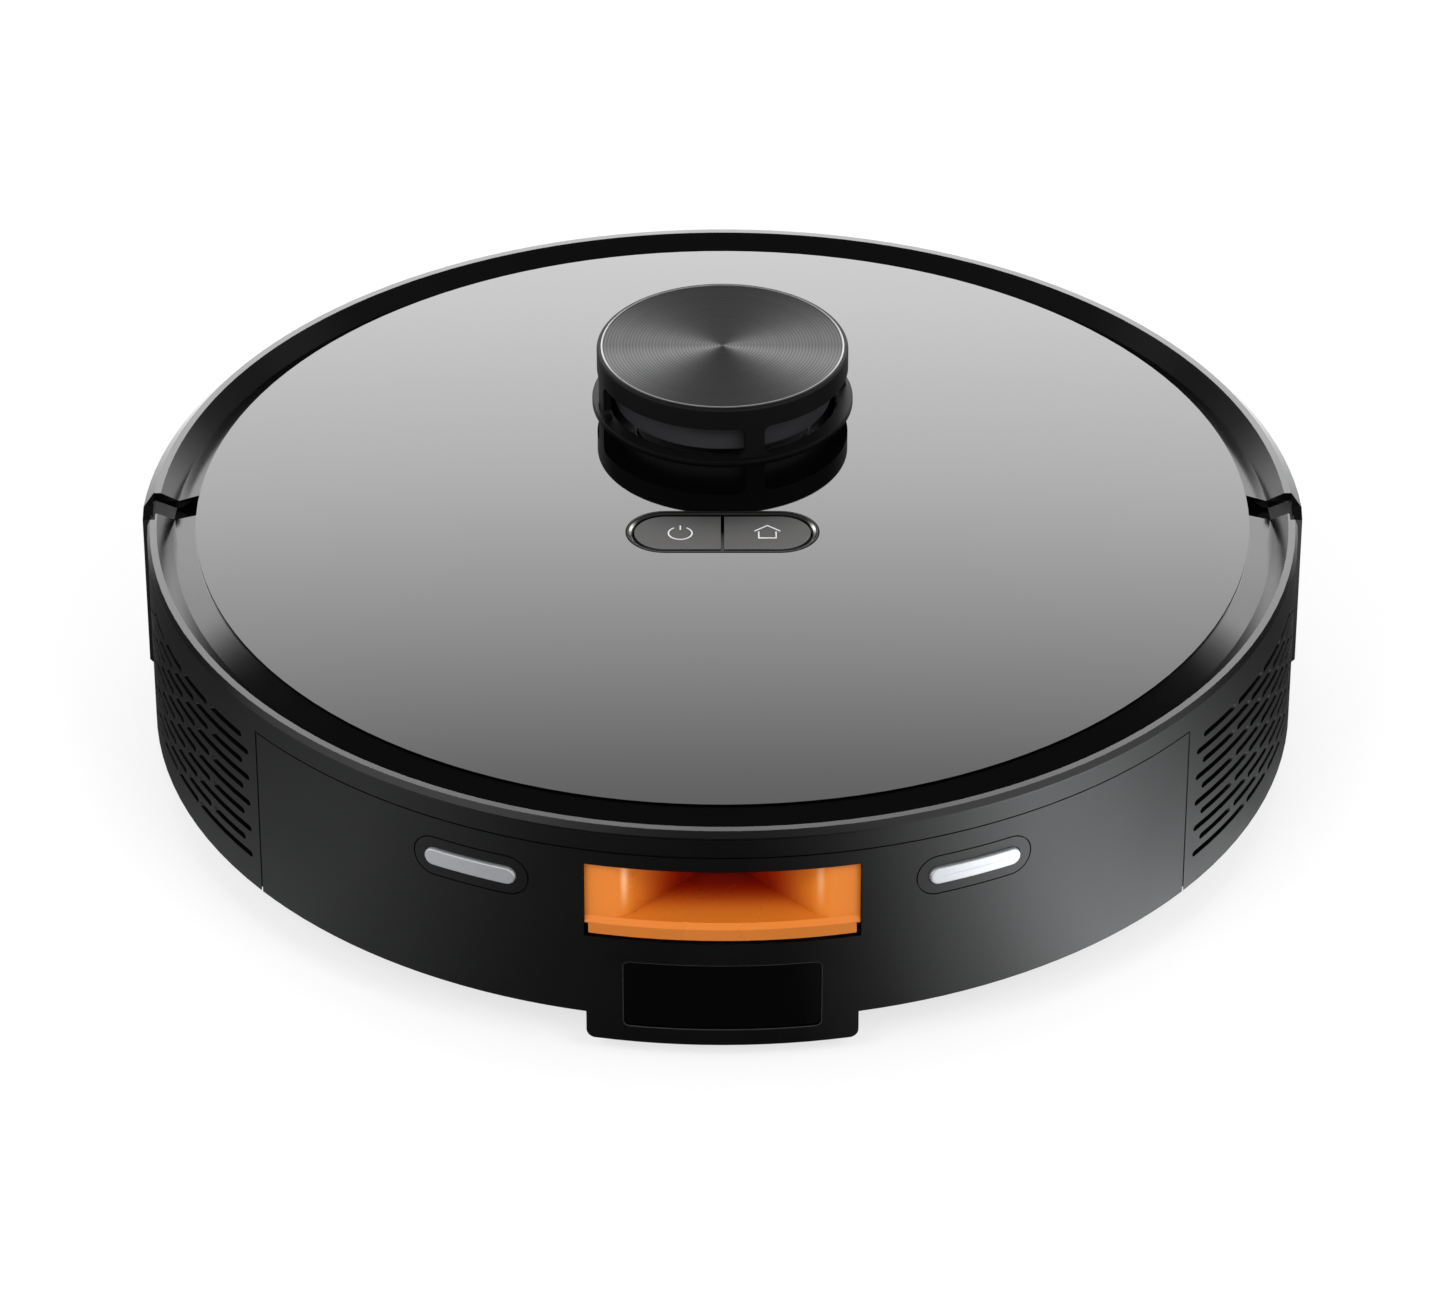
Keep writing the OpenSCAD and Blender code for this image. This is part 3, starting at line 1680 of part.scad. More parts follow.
// Charging contacts: a bevelled bar through the pad, and a flange behind the wall
module dock_contacts() {
    half = contact_h / 2;
    color(silver)
        for (side = [-1, 1])
            at_wall(side * contact_turn) {
                intersection() {
                    translate([0, contact_z, inner_r - 2.4])
                        linear_extrude(far)
                            stadium(contact_l, contact_h);
                    rotate([-90, 0, 0])
                        rotate_extrude($fn = 240)
                            polygon([
                                [0, -contact_z - half - 0.2], [body_r + 0.3, -contact_z - half - 0.2],
                                [body_r + 0.9, -contact_z - half + 0.4],
                                [body_r + 0.9, -contact_z + half - 0.4],
                                [body_r + 0.3, -contact_z + half + 0.2], [0, -contact_z + half + 0.2]
                            ]);
                }
                translate([0, contact_z, inner_r - 2.4])
                    linear_extrude(1.4)
                        stadium(contact_l + 4, contact_h + 4);
            }
}

// Dark window that the robot finds its dock through
module ir_window() {
    color(jet)
        intersection() {
            ring(body_r - 0.8, body_r - 1.78, 0, top_z);
            along_y(-far, 0)
                ir_outline(-0.2);
        }
}

lower_chassis();
upper_housing();
top_panel();
button_bezel();
button_board();
power_button();
home_button();
turret_ledge();
turret_cover();
turret_ring();
turret_disc();
lidar_base();
lidar_motor();
lidar_belt();
lidar_pulley();
lidar_drum();
lidar_lenses();
bumper_shell();
bumper_window();
bumper_switches();
grille_screens();
battery();
battery_cover();
main_board();
speaker();
fan_housing();
fan_motor();
impeller();
brush_housing();
brush_core();
brush_blades();
brush_cover();
brush_motor();
inlet_seal();
side_brush_motor();
side_brush_hub();
side_brush_bristles();
cliff_windows();
wheel_housings();
arm_left();
arm_right();
spring_left();
spring_right();
hub_left();
hub_right();
tyre_left();
tyre_right();
caster_socket();
caster_fork();
caster_axle();
caster_wheel();
dust_bin();
bin_lid();
filter_frame();
filter_pleats();
port_funnel();
port_flap();
inlet_flap();
dock_contacts();
ir_window();
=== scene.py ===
import json
import math

import bmesh
import bpy
import numpy as np
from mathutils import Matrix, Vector


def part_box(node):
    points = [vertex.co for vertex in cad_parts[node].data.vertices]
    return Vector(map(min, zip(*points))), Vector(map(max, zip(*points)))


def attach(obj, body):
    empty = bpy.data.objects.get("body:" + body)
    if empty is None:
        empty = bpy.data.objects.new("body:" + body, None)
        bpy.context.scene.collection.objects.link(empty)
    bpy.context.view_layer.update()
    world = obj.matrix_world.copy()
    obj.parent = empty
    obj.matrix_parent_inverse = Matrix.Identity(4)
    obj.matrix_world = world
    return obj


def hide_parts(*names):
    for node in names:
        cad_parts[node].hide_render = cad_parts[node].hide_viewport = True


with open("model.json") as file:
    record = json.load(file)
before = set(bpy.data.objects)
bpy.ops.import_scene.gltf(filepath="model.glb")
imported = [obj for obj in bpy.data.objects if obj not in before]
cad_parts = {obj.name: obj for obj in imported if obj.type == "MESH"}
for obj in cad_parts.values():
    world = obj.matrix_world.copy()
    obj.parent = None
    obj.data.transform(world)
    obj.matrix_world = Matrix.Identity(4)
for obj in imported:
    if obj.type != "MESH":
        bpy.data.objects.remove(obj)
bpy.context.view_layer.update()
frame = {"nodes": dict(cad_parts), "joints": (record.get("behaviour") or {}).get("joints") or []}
nodes = frame["nodes"]
mm = 0.001
print("frame loaded:", len(nodes), "nodes")

cameraSpec = {
    "aim": (0.0, -0.0755, 0.079),      # a point on the top panel, in metres
    "elevation": 32.736,               # degrees above the floor
    "distance": 1.98998,
    "lens": 169.4,                     # for a sensor of the width below, both in millimetres
    "sensor": 36,
    "clip": (0.05, 50),
}


def placeCamera(spec):
    lens = bpy.data.cameras.new("camera")
    lens.sensor_width = spec["sensor"]
    lens.lens = spec["lens"]
    lens.clip_start, lens.clip_end = spec["clip"]
    camera = bpy.data.objects.new("camera", lens)
    rise = math.radians(spec["elevation"])
    x, y, z = spec["aim"]
    away = spec["distance"]
    camera.location = (x, y - away * math.cos(rise), z + away * math.sin(rise))
    camera.rotation_euler = (math.pi / 2 - rise, 0, 0)
    bpy.context.scene.collection.objects.link(camera)
    bpy.context.scene.camera = camera


placeCamera(cameraSpec)
print("camera placed")


# points has shape (u, v, 3): neighbours in u and v make a quad, closeU and closeV join the
# last row or column back to the first, and capU closes the first and last rows with one face
def meshFromGrid(name, points, closeU=False, closeV=False, capU=False, smooth=True):
    nu, nv = points.shape[:2]
    grid = np.arange(nu * nv).reshape(nu, nv)
    a = grid if closeU else grid[:-1]
    b = np.roll(grid, -1, 0) if closeU else grid[1:]
    if closeV:
        quads = np.stack([a, b, np.roll(b, -1, 1), np.roll(a, -1, 1)], -1)
    else:
        quads = np.stack([a[:, :-1], b[:, :-1], b[:, 1:], a[:, 1:]], -1)
    faces = quads.reshape(-1, 4).tolist()
    if capU:
        faces.append(grid[0].tolist())
        faces.append(grid[-1][::-1].tolist())
    mesh = bpy.data.meshes.new(name)
    mesh.from_pydata(points.reshape(-1, 3).tolist(), [], faces)
    mesh.polygons.foreach_set("use_smooth", np.full(len(mesh.polygons), smooth))
    mesh.update()
    return mesh


# one mesh out of several, kept smooth or flat as the first one is
def joinMeshes(name, parts):
    points, faces, start = [], [], 0
    smooth = parts[0].polygons[0].use_smooth
    for mesh in parts:
        co = np.empty(len(mesh.vertices) * 3)
        mesh.vertices.foreach_get("co", co)
        points.append(co.reshape(-1, 3))
        faces += [[start + i for i in p.vertices] for p in mesh.polygons]
        start += len(mesh.vertices)
        bpy.data.meshes.remove(mesh)
    whole = bpy.data.meshes.new(name)
    whole.from_pydata(np.concatenate(points).tolist(), [], faces)
    whole.polygons.foreach_set("use_smooth", np.full(len(whole.polygons), smooth))
    whole.update()
    return whole


# closes coincident seams, turns the faces outward and lets the piece ride on a body
def addPiece(name, mesh, material, body):
    work = bmesh.new()
    work.from_mesh(mesh)
    bmesh.ops.remove_doubles(work, verts=work.verts, dist=1e-7)
    bmesh.ops.recalc_face_normals(work, faces=work.faces)
    work.to_mesh(mesh)
    work.free()
    piece = bpy.data.objects.new(name, mesh)
    bpy.context.scene.collection.objects.link(piece)
    mesh.materials.append(material)
    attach(piece, body)
    return piece


# a group reads a Vector and the numbers in inputs, and puts out numbers
def newGroup(name, inputs, outputs):
    group = bpy.data.node_groups.new(name, "ShaderNodeTree")
    group.interface.new_socket("Vector", in_out="INPUT", socket_type="NodeSocketVector")
    for label, value in inputs.items():
        socket = group.interface.new_socket(label, in_out="INPUT", socket_type="NodeSocketFloat")
        socket.default_value = value
    for label in outputs:
        group.interface.new_socket(label, in_out="OUTPUT", socket_type="NodeSocketFloat")
    given = group.nodes.new("NodeGroupInput").outputs
    results = group.nodes.new("NodeGroupOutput").inputs
    return group, given, results


def link(tree, source, target):
    tree.links.new(source, target)


# a plain number or colour is set on the socket, anything else is linked to it
def feed(tree, socket, item):
    if isinstance(item, (int, float, tuple)):
        socket.default_value = item
    else:
        link(tree, item, socket)


def mathNode(tree, operation, first, second=None):
    node = tree.nodes.new("ShaderNodeMath")
    node.operation = operation
    feed(tree, node.inputs[0], first)
    if second is not None:
        feed(tree, node.inputs[1], second)
    return node.outputs[0]


def plus(tree, first, second):
    return mathNode(tree, "ADD", first, second)


def minus(tree, first, second):
    return mathNode(tree, "SUBTRACT", first, second)


def times(tree, first, second):
    return mathNode(tree, "MULTIPLY", first, second)


# the root of the sum of two squares
def distance(tree, first, second):
    squares = plus(tree, times(tree, first, first), times(tree, second, second))
    return mathNode(tree, "SQRT", squares)


# the first value where the share is 0, the second where it is 1
def between(tree, share, first, second):
    return plus(tree, times(tree, first, minus(tree, 1.0, share)), times(tree, second, share))


def noiseNode(tree, vector, scale, detail, rough):
    node = tree.nodes.new("ShaderNodeTexNoise")
    node.inputs["Detail"].default_value = detail
    node.inputs["Roughness"].default_value = rough
    feed(tree, node.inputs["Scale"], scale)
    link(tree, vector, node.inputs["Vector"])
    return node.outputs["Fac"]


# 1, more or less as a noise lies over or under its middle
def noiseShade(tree, noise, depth):
    return plus(tree, times(tree, minus(tree, noise, 0.5), depth), 1.0)


def rangeNode(tree, value, fromLow, fromHigh, toLow, toHigh, soft=False):
    node = tree.nodes.new("ShaderNodeMapRange")
    if soft:
        node.interpolation_type = "SMOOTHSTEP"
    for label, item in (("Value", value), ("From Min", fromLow), ("From Max", fromHigh),
                        ("To Min", toLow), ("To Max", toHigh)):
        feed(tree, node.inputs[label], item)
    return node.outputs["Result"]


def mixColour(tree, factor, first, second):
    node = tree.nodes.new("ShaderNodeMix")
    node.data_type = "RGBA"
    for place, item in ((0, factor), (6, first), (7, second)):
        feed(tree, node.inputs[place], item)
    return node.outputs[2]


def splitVector(tree, vector):
    split = tree.nodes.new("ShaderNodeSeparateXYZ")
    link(tree, vector, split.inputs[0])
    return split.outputs


# a grey ramp through (place, level) pairs, between the places low and high
def rampNode(tree, value, stops, low, high):
    top = max(level for place, level in stops)
    ramp = tree.nodes.new("ShaderNodeValToRGB")
    elements = ramp.color_ramp.elements
    while len(elements) < len(stops):
        elements.new(0.5)
    for element, (place, level) in zip(elements, stops):
        element.position = (place - low) / (high - low)
        element.color = (level / top, level / top, level / top, 1)
    link(tree, rangeNode(tree, value, low, high, 0.0, 1.0), ramp.inputs[0])
    return times(tree, ramp.outputs[0], top)


# spark-eroded mould texture: fine noise for height, broad noise for roughness and tone
def buildSparkGrain():
    tree, given, results = newGroup(
        "sparkGrain", {"Grain": 2600.0, "Tone": 0.12, "Rough": 0.42, "Spread": 0.08},
        ["Height", "Roughness", "Shade"])
    link(tree, noiseNode(tree, given["Vector"], given["Grain"], 2, 0.6), results["Height"])
    broad = noiseNode(tree, given["Vector"], 38.0, 4, 0.55)
    low = minus(tree, given["Rough"], given["Spread"])
    high = plus(tree, given["Rough"], given["Spread"])
    link(tree, rangeNode(tree, broad, 0.3, 0.7, low, high), results["Roughness"])
    link(tree, noiseShade(tree, broad, given["Tone"]), results["Shade"])
    return tree


# 1 inside a radius, and outside it above a height, but 0 anywhere below the foot
def buildRimMask():
    tree, given, results = newGroup(
        "rimMask", {"Radius": 0.1724, "Height": 0.0766, "Foot": 0.066}, ["Mask"])
    x, y, z = splitVector(tree, given["Vector"])
    inside = mathNode(tree, "LESS_THAN", distance(tree, x, y), given["Radius"])
    above = mathNode(tree, "GREATER_THAN", z, given["Height"])
    high = mathNode(tree, "GREATER_THAN", z, given["Foot"])
    link(tree, times(tree, mathNode(tree, "MAXIMUM", inside, above), high), results["Mask"])
    return tree


# grooves turned round an upright axis: the sine of the distance from the axis over the pitch,
# with a slower noise along the radius for bands, on a shallow dish as deep as the distance squared;
# over them lie painted highlight sectors, lighter by the cosine to the fourth times the sine of the
# bearing, most in the half towards -Y and by the share Back in the other, and painted shade makes
# the near half darker at its middle by the sine to the fourth
def buildTurned():
    tree, given, results = newGroup(
        "turnedRingsPaintedSectors", {"Pitch": 0.001, "Wander": 0.4, "Dish": 5.0e5, "Contrast": 0.28, "Lobe": 3.5,
                        "Back": 0.28, "Core": 0.46}, ["Height", "Shade"])
    x, y, z = splitVector(tree, given["Vector"])
    radius = distance(tree, x, y)
    turns = mathNode(tree, "DIVIDE", radius, given["Pitch"])
    join = tree.nodes.new("ShaderNodeCombineXYZ")
    link(tree, turns, join.inputs[0])
    band = noiseNode(tree, join.outputs[0], 0.35, 3, 0.7)
    wave = mathNode(tree, "SINE", times(tree, turns, 2 * math.pi))
    drift = times(tree, minus(tree, band, 0.5), given["Wander"])
    groove = plus(tree, times(tree, wave, 0.5), times(tree, drift, 4.0))
    bowl = times(tree, times(tree, radius, radius), given["Dish"])
    link(tree, plus(tree, groove, bowl), results["Height"])
    tone = plus(tree, drift, times(tree, wave, given["Contrast"]))
    # painted highlight sectors by the bearing, and painted shade at the middle of the near half
    cosine = mathNode(tree, "ABSOLUTE", mathNode(tree, "DIVIDE", x, radius))
    sine = mathNode(tree, "DIVIDE", times(tree, y, -1.0), radius)
    near = mathNode(tree, "MAXIMUM", sine, 0.0)
    back = times(tree, sine, times(tree, given["Back"], -1.0))
    both = mathNode(tree, "MAXIMUM", near, back)
    paintedLobe = times(tree, mathNode(tree, "POWER", cosine, 4.0), times(tree, both, given["Lobe"]))
    core = times(tree, mathNode(tree, "POWER", near, 4.0), given["Core"])
    paintedSector = plus(tree, minus(tree, paintedLobe, core), 1.0)
    link(tree, times(tree, plus(tree, tone, 1.0), paintedSector), results["Shade"])
    return tree


# hairline brushing along X: noise stretched some forty times along the stroke
def buildHairline():
    tree, given, results = newGroup("hairline", {"Depth": 0.3}, ["Height", "Shade"])
    stretch = tree.nodes.new("ShaderNodeMapping")
    stretch.inputs["Scale"].default_value = (60, 2600, 2600)
    link(tree, given["Vector"], stretch.inputs["Vector"])
    stroke = noiseNode(tree, stretch.outputs[0], 1.0, 4, 0.65)
    link(tree, stroke, results["Height"])
    link(tree, noiseShade(tree, stroke, given["Depth"]), results["Shade"])
    return tree


# plain weave across Y and Z: two sets of threads as crossed sine waves
def buildWeave():
    tree, given, results = newGroup("plainWeave", {"Pitch": 0.0006}, ["Height", "Shade"])
    x, y, z = splitVector(tree, given["Vector"])
    waves = []
    for across in (y, z):
        threads = mathNode(tree, "DIVIDE", across, given["Pitch"])
        waves.append(mathNode(tree, "SINE", times(tree, threads, 2 * math.pi)))
    cross = times(tree, *waves)
    link(tree, cross, results["Height"])
    link(tree, rangeNode(tree, cross, -1.0, 1.0, 0.6, 1.2), results["Shade"])
    return tree


# painted shade mask: 1 on the outer edge of a pill-shaped ring and on what lies deep inside it: the
# distance from the pill's middle line, a straight piece along X of Half to each side
def buildPillMask():
    tree, given, results = newGroup(
        "pillShadeMask", {"Half": 0.02, "Radius": 0.01, "Edge": 0.0004, "Depth": 0.001}, ["Mask"])
    x, y, z = splitVector(tree, given["Vector"])
    past = minus(tree, mathNode(tree, "ABSOLUTE", x), given["Half"])
    away = distance(tree, mathNode(tree, "MAXIMUM", past, 0.0), y)
    edge = mathNode(tree, "GREATER_THAN", away, minus(tree, given["Radius"], given["Edge"]))
    deepShade = mathNode(tree, "LESS_THAN", z, times(tree, given["Depth"], -1.0))
    link(tree, mathNode(tree, "MAXIMUM", edge, deepShade), results["Mask"])
    return tree


sparkGrain = buildSparkGrain()
rimMask = buildRimMask()
turnedRingsPaintedSectors = buildTurned()
hairline = buildHairline()
plainWeave = buildWeave()
pillShadeMask = buildPillMask()
print("shader groups built")


def startMaterial(name, colour, rough, metal=0.0, specular=0.5):
    material = bpy.data.materials.new(name)
    material.use_nodes = True
    tree = material.node_tree
    shader = tree.nodes["Principled BSDF"]
    shader.inputs["Base Color"].default_value = (*colour, 1)
    shader.inputs["Roughness"].default_value = rough
    shader.inputs["Metallic"].default_value = metal
    shader.inputs["Specular IOR Level"].default_value = specular
    place = tree.nodes.new("ShaderNodeTexCoord")
    return material, tree, shader, place.outputs["Object"]


def useGroup(tree, group, vector, **values):
    node = tree.nodes.new("ShaderNodeGroup")
    node.node_tree = group
    link(tree, vector, node.inputs["Vector"])
    for label, value in values.items():
        node.inputs[label].default_value = value
    return node.outputs


# where a place is from the middle of the top of a node's box, and the box's size
def fromTopOf(tree, where, node):
    low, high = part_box(node)
    shift = tree.nodes.new("ShaderNodeMapping")
    shift.inputs["Location"].default_value = (-(low.x + high.x) / 2, -(low.y + high.y) / 2, -high.z)
    link(tree, where, shift.inputs["Vector"])
    return shift.outputs[0], high - low


# base colour times a shade that changes over the surface
def shadeColour(tree, shader, colour, shade):
    scale = tree.nodes.new("ShaderNodeVectorMath")
    scale.operation = "SCALE"
    feed(tree, scale.inputs[0], colour)
    link(tree, shade, scale.inputs["Scale"])
    link(tree, scale.outputs[0], shader.inputs["Base Color"])


def addBump(tree, shader, height, strength, depth):
    bump = tree.nodes.new("ShaderNodeBump")
    bump.inputs["Strength"].default_value = strength
    bump.inputs["Distance"].default_value = depth
    link(tree, height, bump.inputs["Height"])
    link(tree, bump.outputs[0], shader.inputs["Normal"])


def grainOn(tree, where, rough, spread, grain=900.0, tone=0.1):
    return useGroup(tree, sparkGrain, where, Grain=grain, Tone=tone, Rough=rough, Spread=spread)


# plastic or rubber out of a spark-eroded mould
def mouldedFinish(name, colour, rough, spread=0.06, grain=2600.0, tone=0.12, strength=0.35,
                  depth=0.02 * mm, metal=0.0, specular=0.5):
    material, tree, shader, where = startMaterial(name, colour, rough, metal, specular)
    skin = grainOn(tree, where, rough, spread, grain, tone)
    shadeColour(tree, shader, colour, skin["Shade"])
    link(tree, skin["Roughness"], shader.inputs["Roughness"])
    addBump(tree, shader, skin["Height"], strength, depth)
    return material


# metal takes the same grain, shallower and fainter
def metalFinish(name, colour, rough, grain=900.0, metal=1.0):
    return mouldedFinish(name, colour, rough, spread=0.04, grain=grain, tone=0.1, strength=0.08,
                         depth=0.01 * mm, metal=metal)


shellSpec = {
    "colour": (0.0015, 0.0015, 0.0017),
    "rough": 0.34,
    "polished": 0.15,                   # roughness of the rim and the moat
    "rimRadius": 172.4 * mm,
    "edgeHeight": 76.6 * mm,
    "moatFoot": 66 * mm,
    "calm": 0.85,                       # share of the grain that polishing takes away
}


# the body's shell: a fine texture on the side wall, polished on the rim and in the moat
def shellFinish(name, spec):
    material, tree, shader, where = startMaterial(name, spec["colour"], spec["rough"])
    skin = grainOn(tree, where, spec["rough"], 0.03, grain=2600.0, tone=0.15)
    smooth = grainOn(tree, where, spec["polished"], 0.02)
    mask = useGroup(tree, rimMask, where, Radius=spec["rimRadius"], Height=spec["edgeHeight"],
                    Foot=spec["moatFoot"])["Mask"]
    shadeColour(tree, shader, spec["colour"], skin["Shade"])
    drop = times(tree, mask, minus(tree, smooth["Roughness"], skin["Roughness"]))
    link(tree, plus(tree, skin["Roughness"], drop), shader.inputs["Roughness"])
    kept = minus(tree, 1.0, times(tree, mask, spec["calm"]))
    addBump(tree, shader, times(tree, skin["Height"], kept), 0.3, 0.02 * mm)
    return material


funnelSpec = {
    "colour": (0.62, 0.175, 0.017),
    "deepShade": (0.4, 0.02, 0.002),         # painted shade at the throat
    "highlightColour": (0.95, 0.56, 0.28),         # a painted highlight down each shoulder
    "rough": 0.26,
    "paintedThroatShade": (5 * mm, 22 * mm),         # how far behind the mouth the painted shade begins and is full
    "roof": (64.7 * mm, 65.0 * mm),     # above this height there is neither painted shade nor painted highlight
    "lip": (0.25 * mm, 0.1 * mm),       # how far behind the front edge its painted shade begins and is full
    "lipShade": 0.72,
    "shoulder": (26.2 * mm, 27.8 * mm, 29.4 * mm),      # the painted highlight's inside, crest and outside
    "rise": (48 * mm, 60 * mm),         # heights where the painted highlight begins and is full
    "highlightShare": 0.6,
    "rightShare": 0.55,                 # of the left painted highlight's strength
}


# the funnel's orange with painted shade, deeper towards the throat and darker on the front edge,
# and a painted highlight down each shoulder
def funnelFinish(name, spec):
    material, tree, shader, where = startMaterial(name, spec["colour"], spec["rough"])
    skin = grainOn(tree, where, spec["rough"], 0.05, grain=1500.0)
    x, y, z = splitVector(tree, where)
    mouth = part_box("port_funnel")[0].y
    begins, full = spec["paintedThroatShade"]
    inside = rangeNode(tree, z, *spec["roof"], 1.0, 0.0)
    # painted shade, deepening from the mouth towards the throat below the roof
    paintedThroatShade = rangeNode(tree, y, mouth + begins, mouth + full, 0.0, 1.0, soft=True)
    blend = mixColour(tree, times(tree, paintedThroatShade, inside), (*spec["colour"], 1), (*spec["deepShade"], 1))
    # painted shade on the front edge
    begins, full = spec["lip"]
    radius = distance(tree, x, y)
    lip = rangeNode(tree, radius, -mouth - begins, -mouth - full, 1.0, spec["lipShade"])
    # a painted highlight down each shoulder, fainter on the right
    inner, crest, outer = spec["shoulder"]
    aside = mathNode(tree, "ABSOLUTE", x)
    rising = rangeNode(tree, aside, inner, crest, 0.0, 1.0, soft=True)
    falling = rangeNode(tree, aside, crest, outer, 1.0, 0.0, soft=True)
    high = rangeNode(tree, z, *spec["rise"], 0.0, spec["highlightShare"], soft=True)
    side = rangeNode(tree, x, -1 * mm, 1 * mm, 1.0, spec["rightShare"])
    ends = times(tree, times(tree, high, side), inside)
    paintedHighlightMask = times(tree, times(tree, rising, falling), ends)
    blend = mixColour(tree, paintedHighlightMask, blend, (*spec["highlightColour"], 1))
    shadeColour(tree, shader, blend, times(tree, skin["Shade"], lip))
    link(tree, skin["Roughness"], shader.inputs["Roughness"])
    addBump(tree, shader, skin["Height"], 0.1, 0.02 * mm)
    return material


bezelSpec = {
    "colour": (0.37, 0.36, 0.35),
    "rough": 0.24,
    "flange": 2.5 * mm,                 # reach of the hidden floor past the ring
    "gap": 0.62 * mm,                   # width of the painted black shade in the gap outside the ring
    "wellShadeDepth": 0.52 * mm,                  # depth at which the painted black shade of the well begins
    # how dark the painted shade makes the colour
    "black": 0.99,
}


# plated ring round the keys, with painted black shade in the gap outside it and in the well inside
def bezelFinish(name, spec):
    material, tree, shader, where = startMaterial(name, spec["colour"], spec["rough"], metal=1.0)
    centred, size = fromTopOf(tree, where, "button_bezel")
    radius = size.y / 2 - spec["flange"]
    mask = useGroup(tree, pillShadeMask, centred, Half=(size.x - size.y) / 2, Radius=radius,
                    Edge=spec["gap"], Depth=spec["wellShadeDepth"])["Mask"]
    skin = grainOn(tree, where, spec["rough"], 0.03)
    # painted shade in the gap and in the well
    kept = minus(tree, 1.0, times(tree, mask, spec["black"]))
    shadeColour(tree, shader, spec["colour"], times(tree, skin["Shade"], kept))
    link(tree, skin["Roughness"], shader.inputs["Roughness"])
    return material


discSpec = {
    "colour": (0.06, 0.06, 0.061),
    "rough": 0.56,
    "stretch": 0.8,                     # of the highlight, across the grooves
    "pitch": 1.0 * mm,
    "wander": 0.4,
    "dish": 5.0e5,
    "contrast": 0.28,                   # of a groove's light and dark
    # strengths of the painted highlight sectors and of the painted shade at the near half's middle
    "paintedLobe": 3.5,
    "back": 0.28,
    "core": 0.46,
}


# black anodised disc, turned on a lathe: the highlight stretches across the grooves, and its
# colour holds painted highlight sectors and painted shade by the bearing
def discFinish(name, spec):
    material, tree, shader, where = startMaterial(name, spec["colour"], spec["rough"], metal=1.0)
    shader.inputs["Anisotropic"].default_value = spec["stretch"]
    shader.inputs["Anisotropic Rotation"].default_value = 0.25      # a quarter turn
    tangent = tree.nodes.new("ShaderNodeTangent")
    tangent.direction_type = "RADIAL"
    tangent.axis = "Z"
    link(tree, tangent.outputs[0], shader.inputs["Tangent"])
    centred, size = fromTopOf(tree, where, "turret_disc")
    rings = useGroup(tree, turnedRingsPaintedSectors, centred, Pitch=spec["pitch"], Wander=spec["wander"],
                     Dish=spec["dish"], Contrast=spec["contrast"], Lobe=spec["paintedLobe"],
                     Back=spec["back"], Core=spec["core"])
    # the colour carries the grooves' bands, the painted highlight sectors and the painted shade
    shadeColour(tree, shader, spec["colour"], rings["Shade"])
    addBump(tree, shader, rings["Height"], 0.1, 0.03 * mm)
    return material


# brushed lacquer of the keys
def keyFinish(name, colour, rough):
    material, tree, shader, where = startMaterial(name, colour, rough, metal=0.6)
    stroke = useGroup(tree, hairline, where, Depth=0.35)
    shadeColour(tree, shader, colour, stroke["Shade"])
    addBump(tree, shader, stroke["Height"], 0.1, 0.02 * mm)
    return material


def wovenFinish(name, colour, pitch):
    material, tree, shader, where = startMaterial(name, colour, 0.8, specular=0.2)
    cloth = useGroup(tree, plainWeave, where, Pitch=pitch)
    shadeColour(tree, shader, colour, cloth["Shade"])
    addBump(tree, shader, cloth["Height"], 0.5, 0.1 * mm)
    return material


shellBlack = shellFinish("shellBlack", shellSpec)
innerGrey = mouldedFinish("innerGrey", (0.035, 0.036, 0.04), 0.5, grain=1800.0)
underBlack = mouldedFinish("underBlack", (0.012, 0.012, 0.013), 0.42)
ledgeBlack = mouldedFinish("ledgeBlack", (0.0026, 0.0026, 0.0028), 0.4, spread=0.03, strength=0.1,
                           specular=0.15)
turretBlack = mouldedFinish("turretBlack", (0.0026, 0.0026, 0.0028), 0.52, spread=0.04,
                            strength=0.2, specular=0.25)
drumGrey = mouldedFinish("drumGrey", (0.034, 0.034, 0.037), 0.42, strength=0.2)
panelGlass = mouldedFinish("panelGlass", (0.0008, 0.0008, 0.0009), 0.025, spread=0.004,
                           strength=0.0, tone=0.05)
smokedWindow = mouldedFinish("smokedWindow", (0.0006, 0.0005, 0.0006), 0.08, spread=0.01,
                             strength=0.03, specular=0.3)
funnelOrange = funnelFinish("funnelOrange", funnelSpec)
rubberBlack = mouldedFinish("rubberBlack", (0.011, 0.011, 0.012), 0.7, grain=1200.0, strength=0.5)
tyreRubber = mouldedFinish("tyreRubber", (0.014, 0.014, 0.0145), 0.78, grain=800.0, strength=0.6)
boardGreen = mouldedFinish("boardGreen", (0.01, 0.09, 0.04), 0.4, grain=700.0)
cellBlue = mouldedFinish("cellBlue", (0.02, 0.07, 0.2), 0.3, grain=300.0, strength=0.2)
printWhite = mouldedFinish("printWhite", (0.62, 0.62, 0.63), 0.45, strength=0.05)
beadGrey = mouldedFinish("beadGrey", (0.03, 0.03, 0.032), 0.3, strength=0.1)
nylonBlack = mouldedFinish("nylonBlack", (0.01, 0.01, 0.011), 0.4, strength=0.1)
bezelChrome = bezelFinish("bezelChrome", bezelSpec)
ringChrome = metalFinish("ringChrome", (0.33, 0.33, 0.34), 0.34, metal=0.6)
contactMetal = metalFinish("contactMetal", (0.57, 0.58, 0.6), 0.38, grain=2600.0, metal=0.75)
plainSteel = metalFinish("plainSteel", (0.55, 0.55, 0.56), 0.28)
darkSteel = metalFinish("darkSteel", (0.16, 0.16, 0.165), 0.4)
turnedDisc = discFinish("turnedDisc", discSpec)
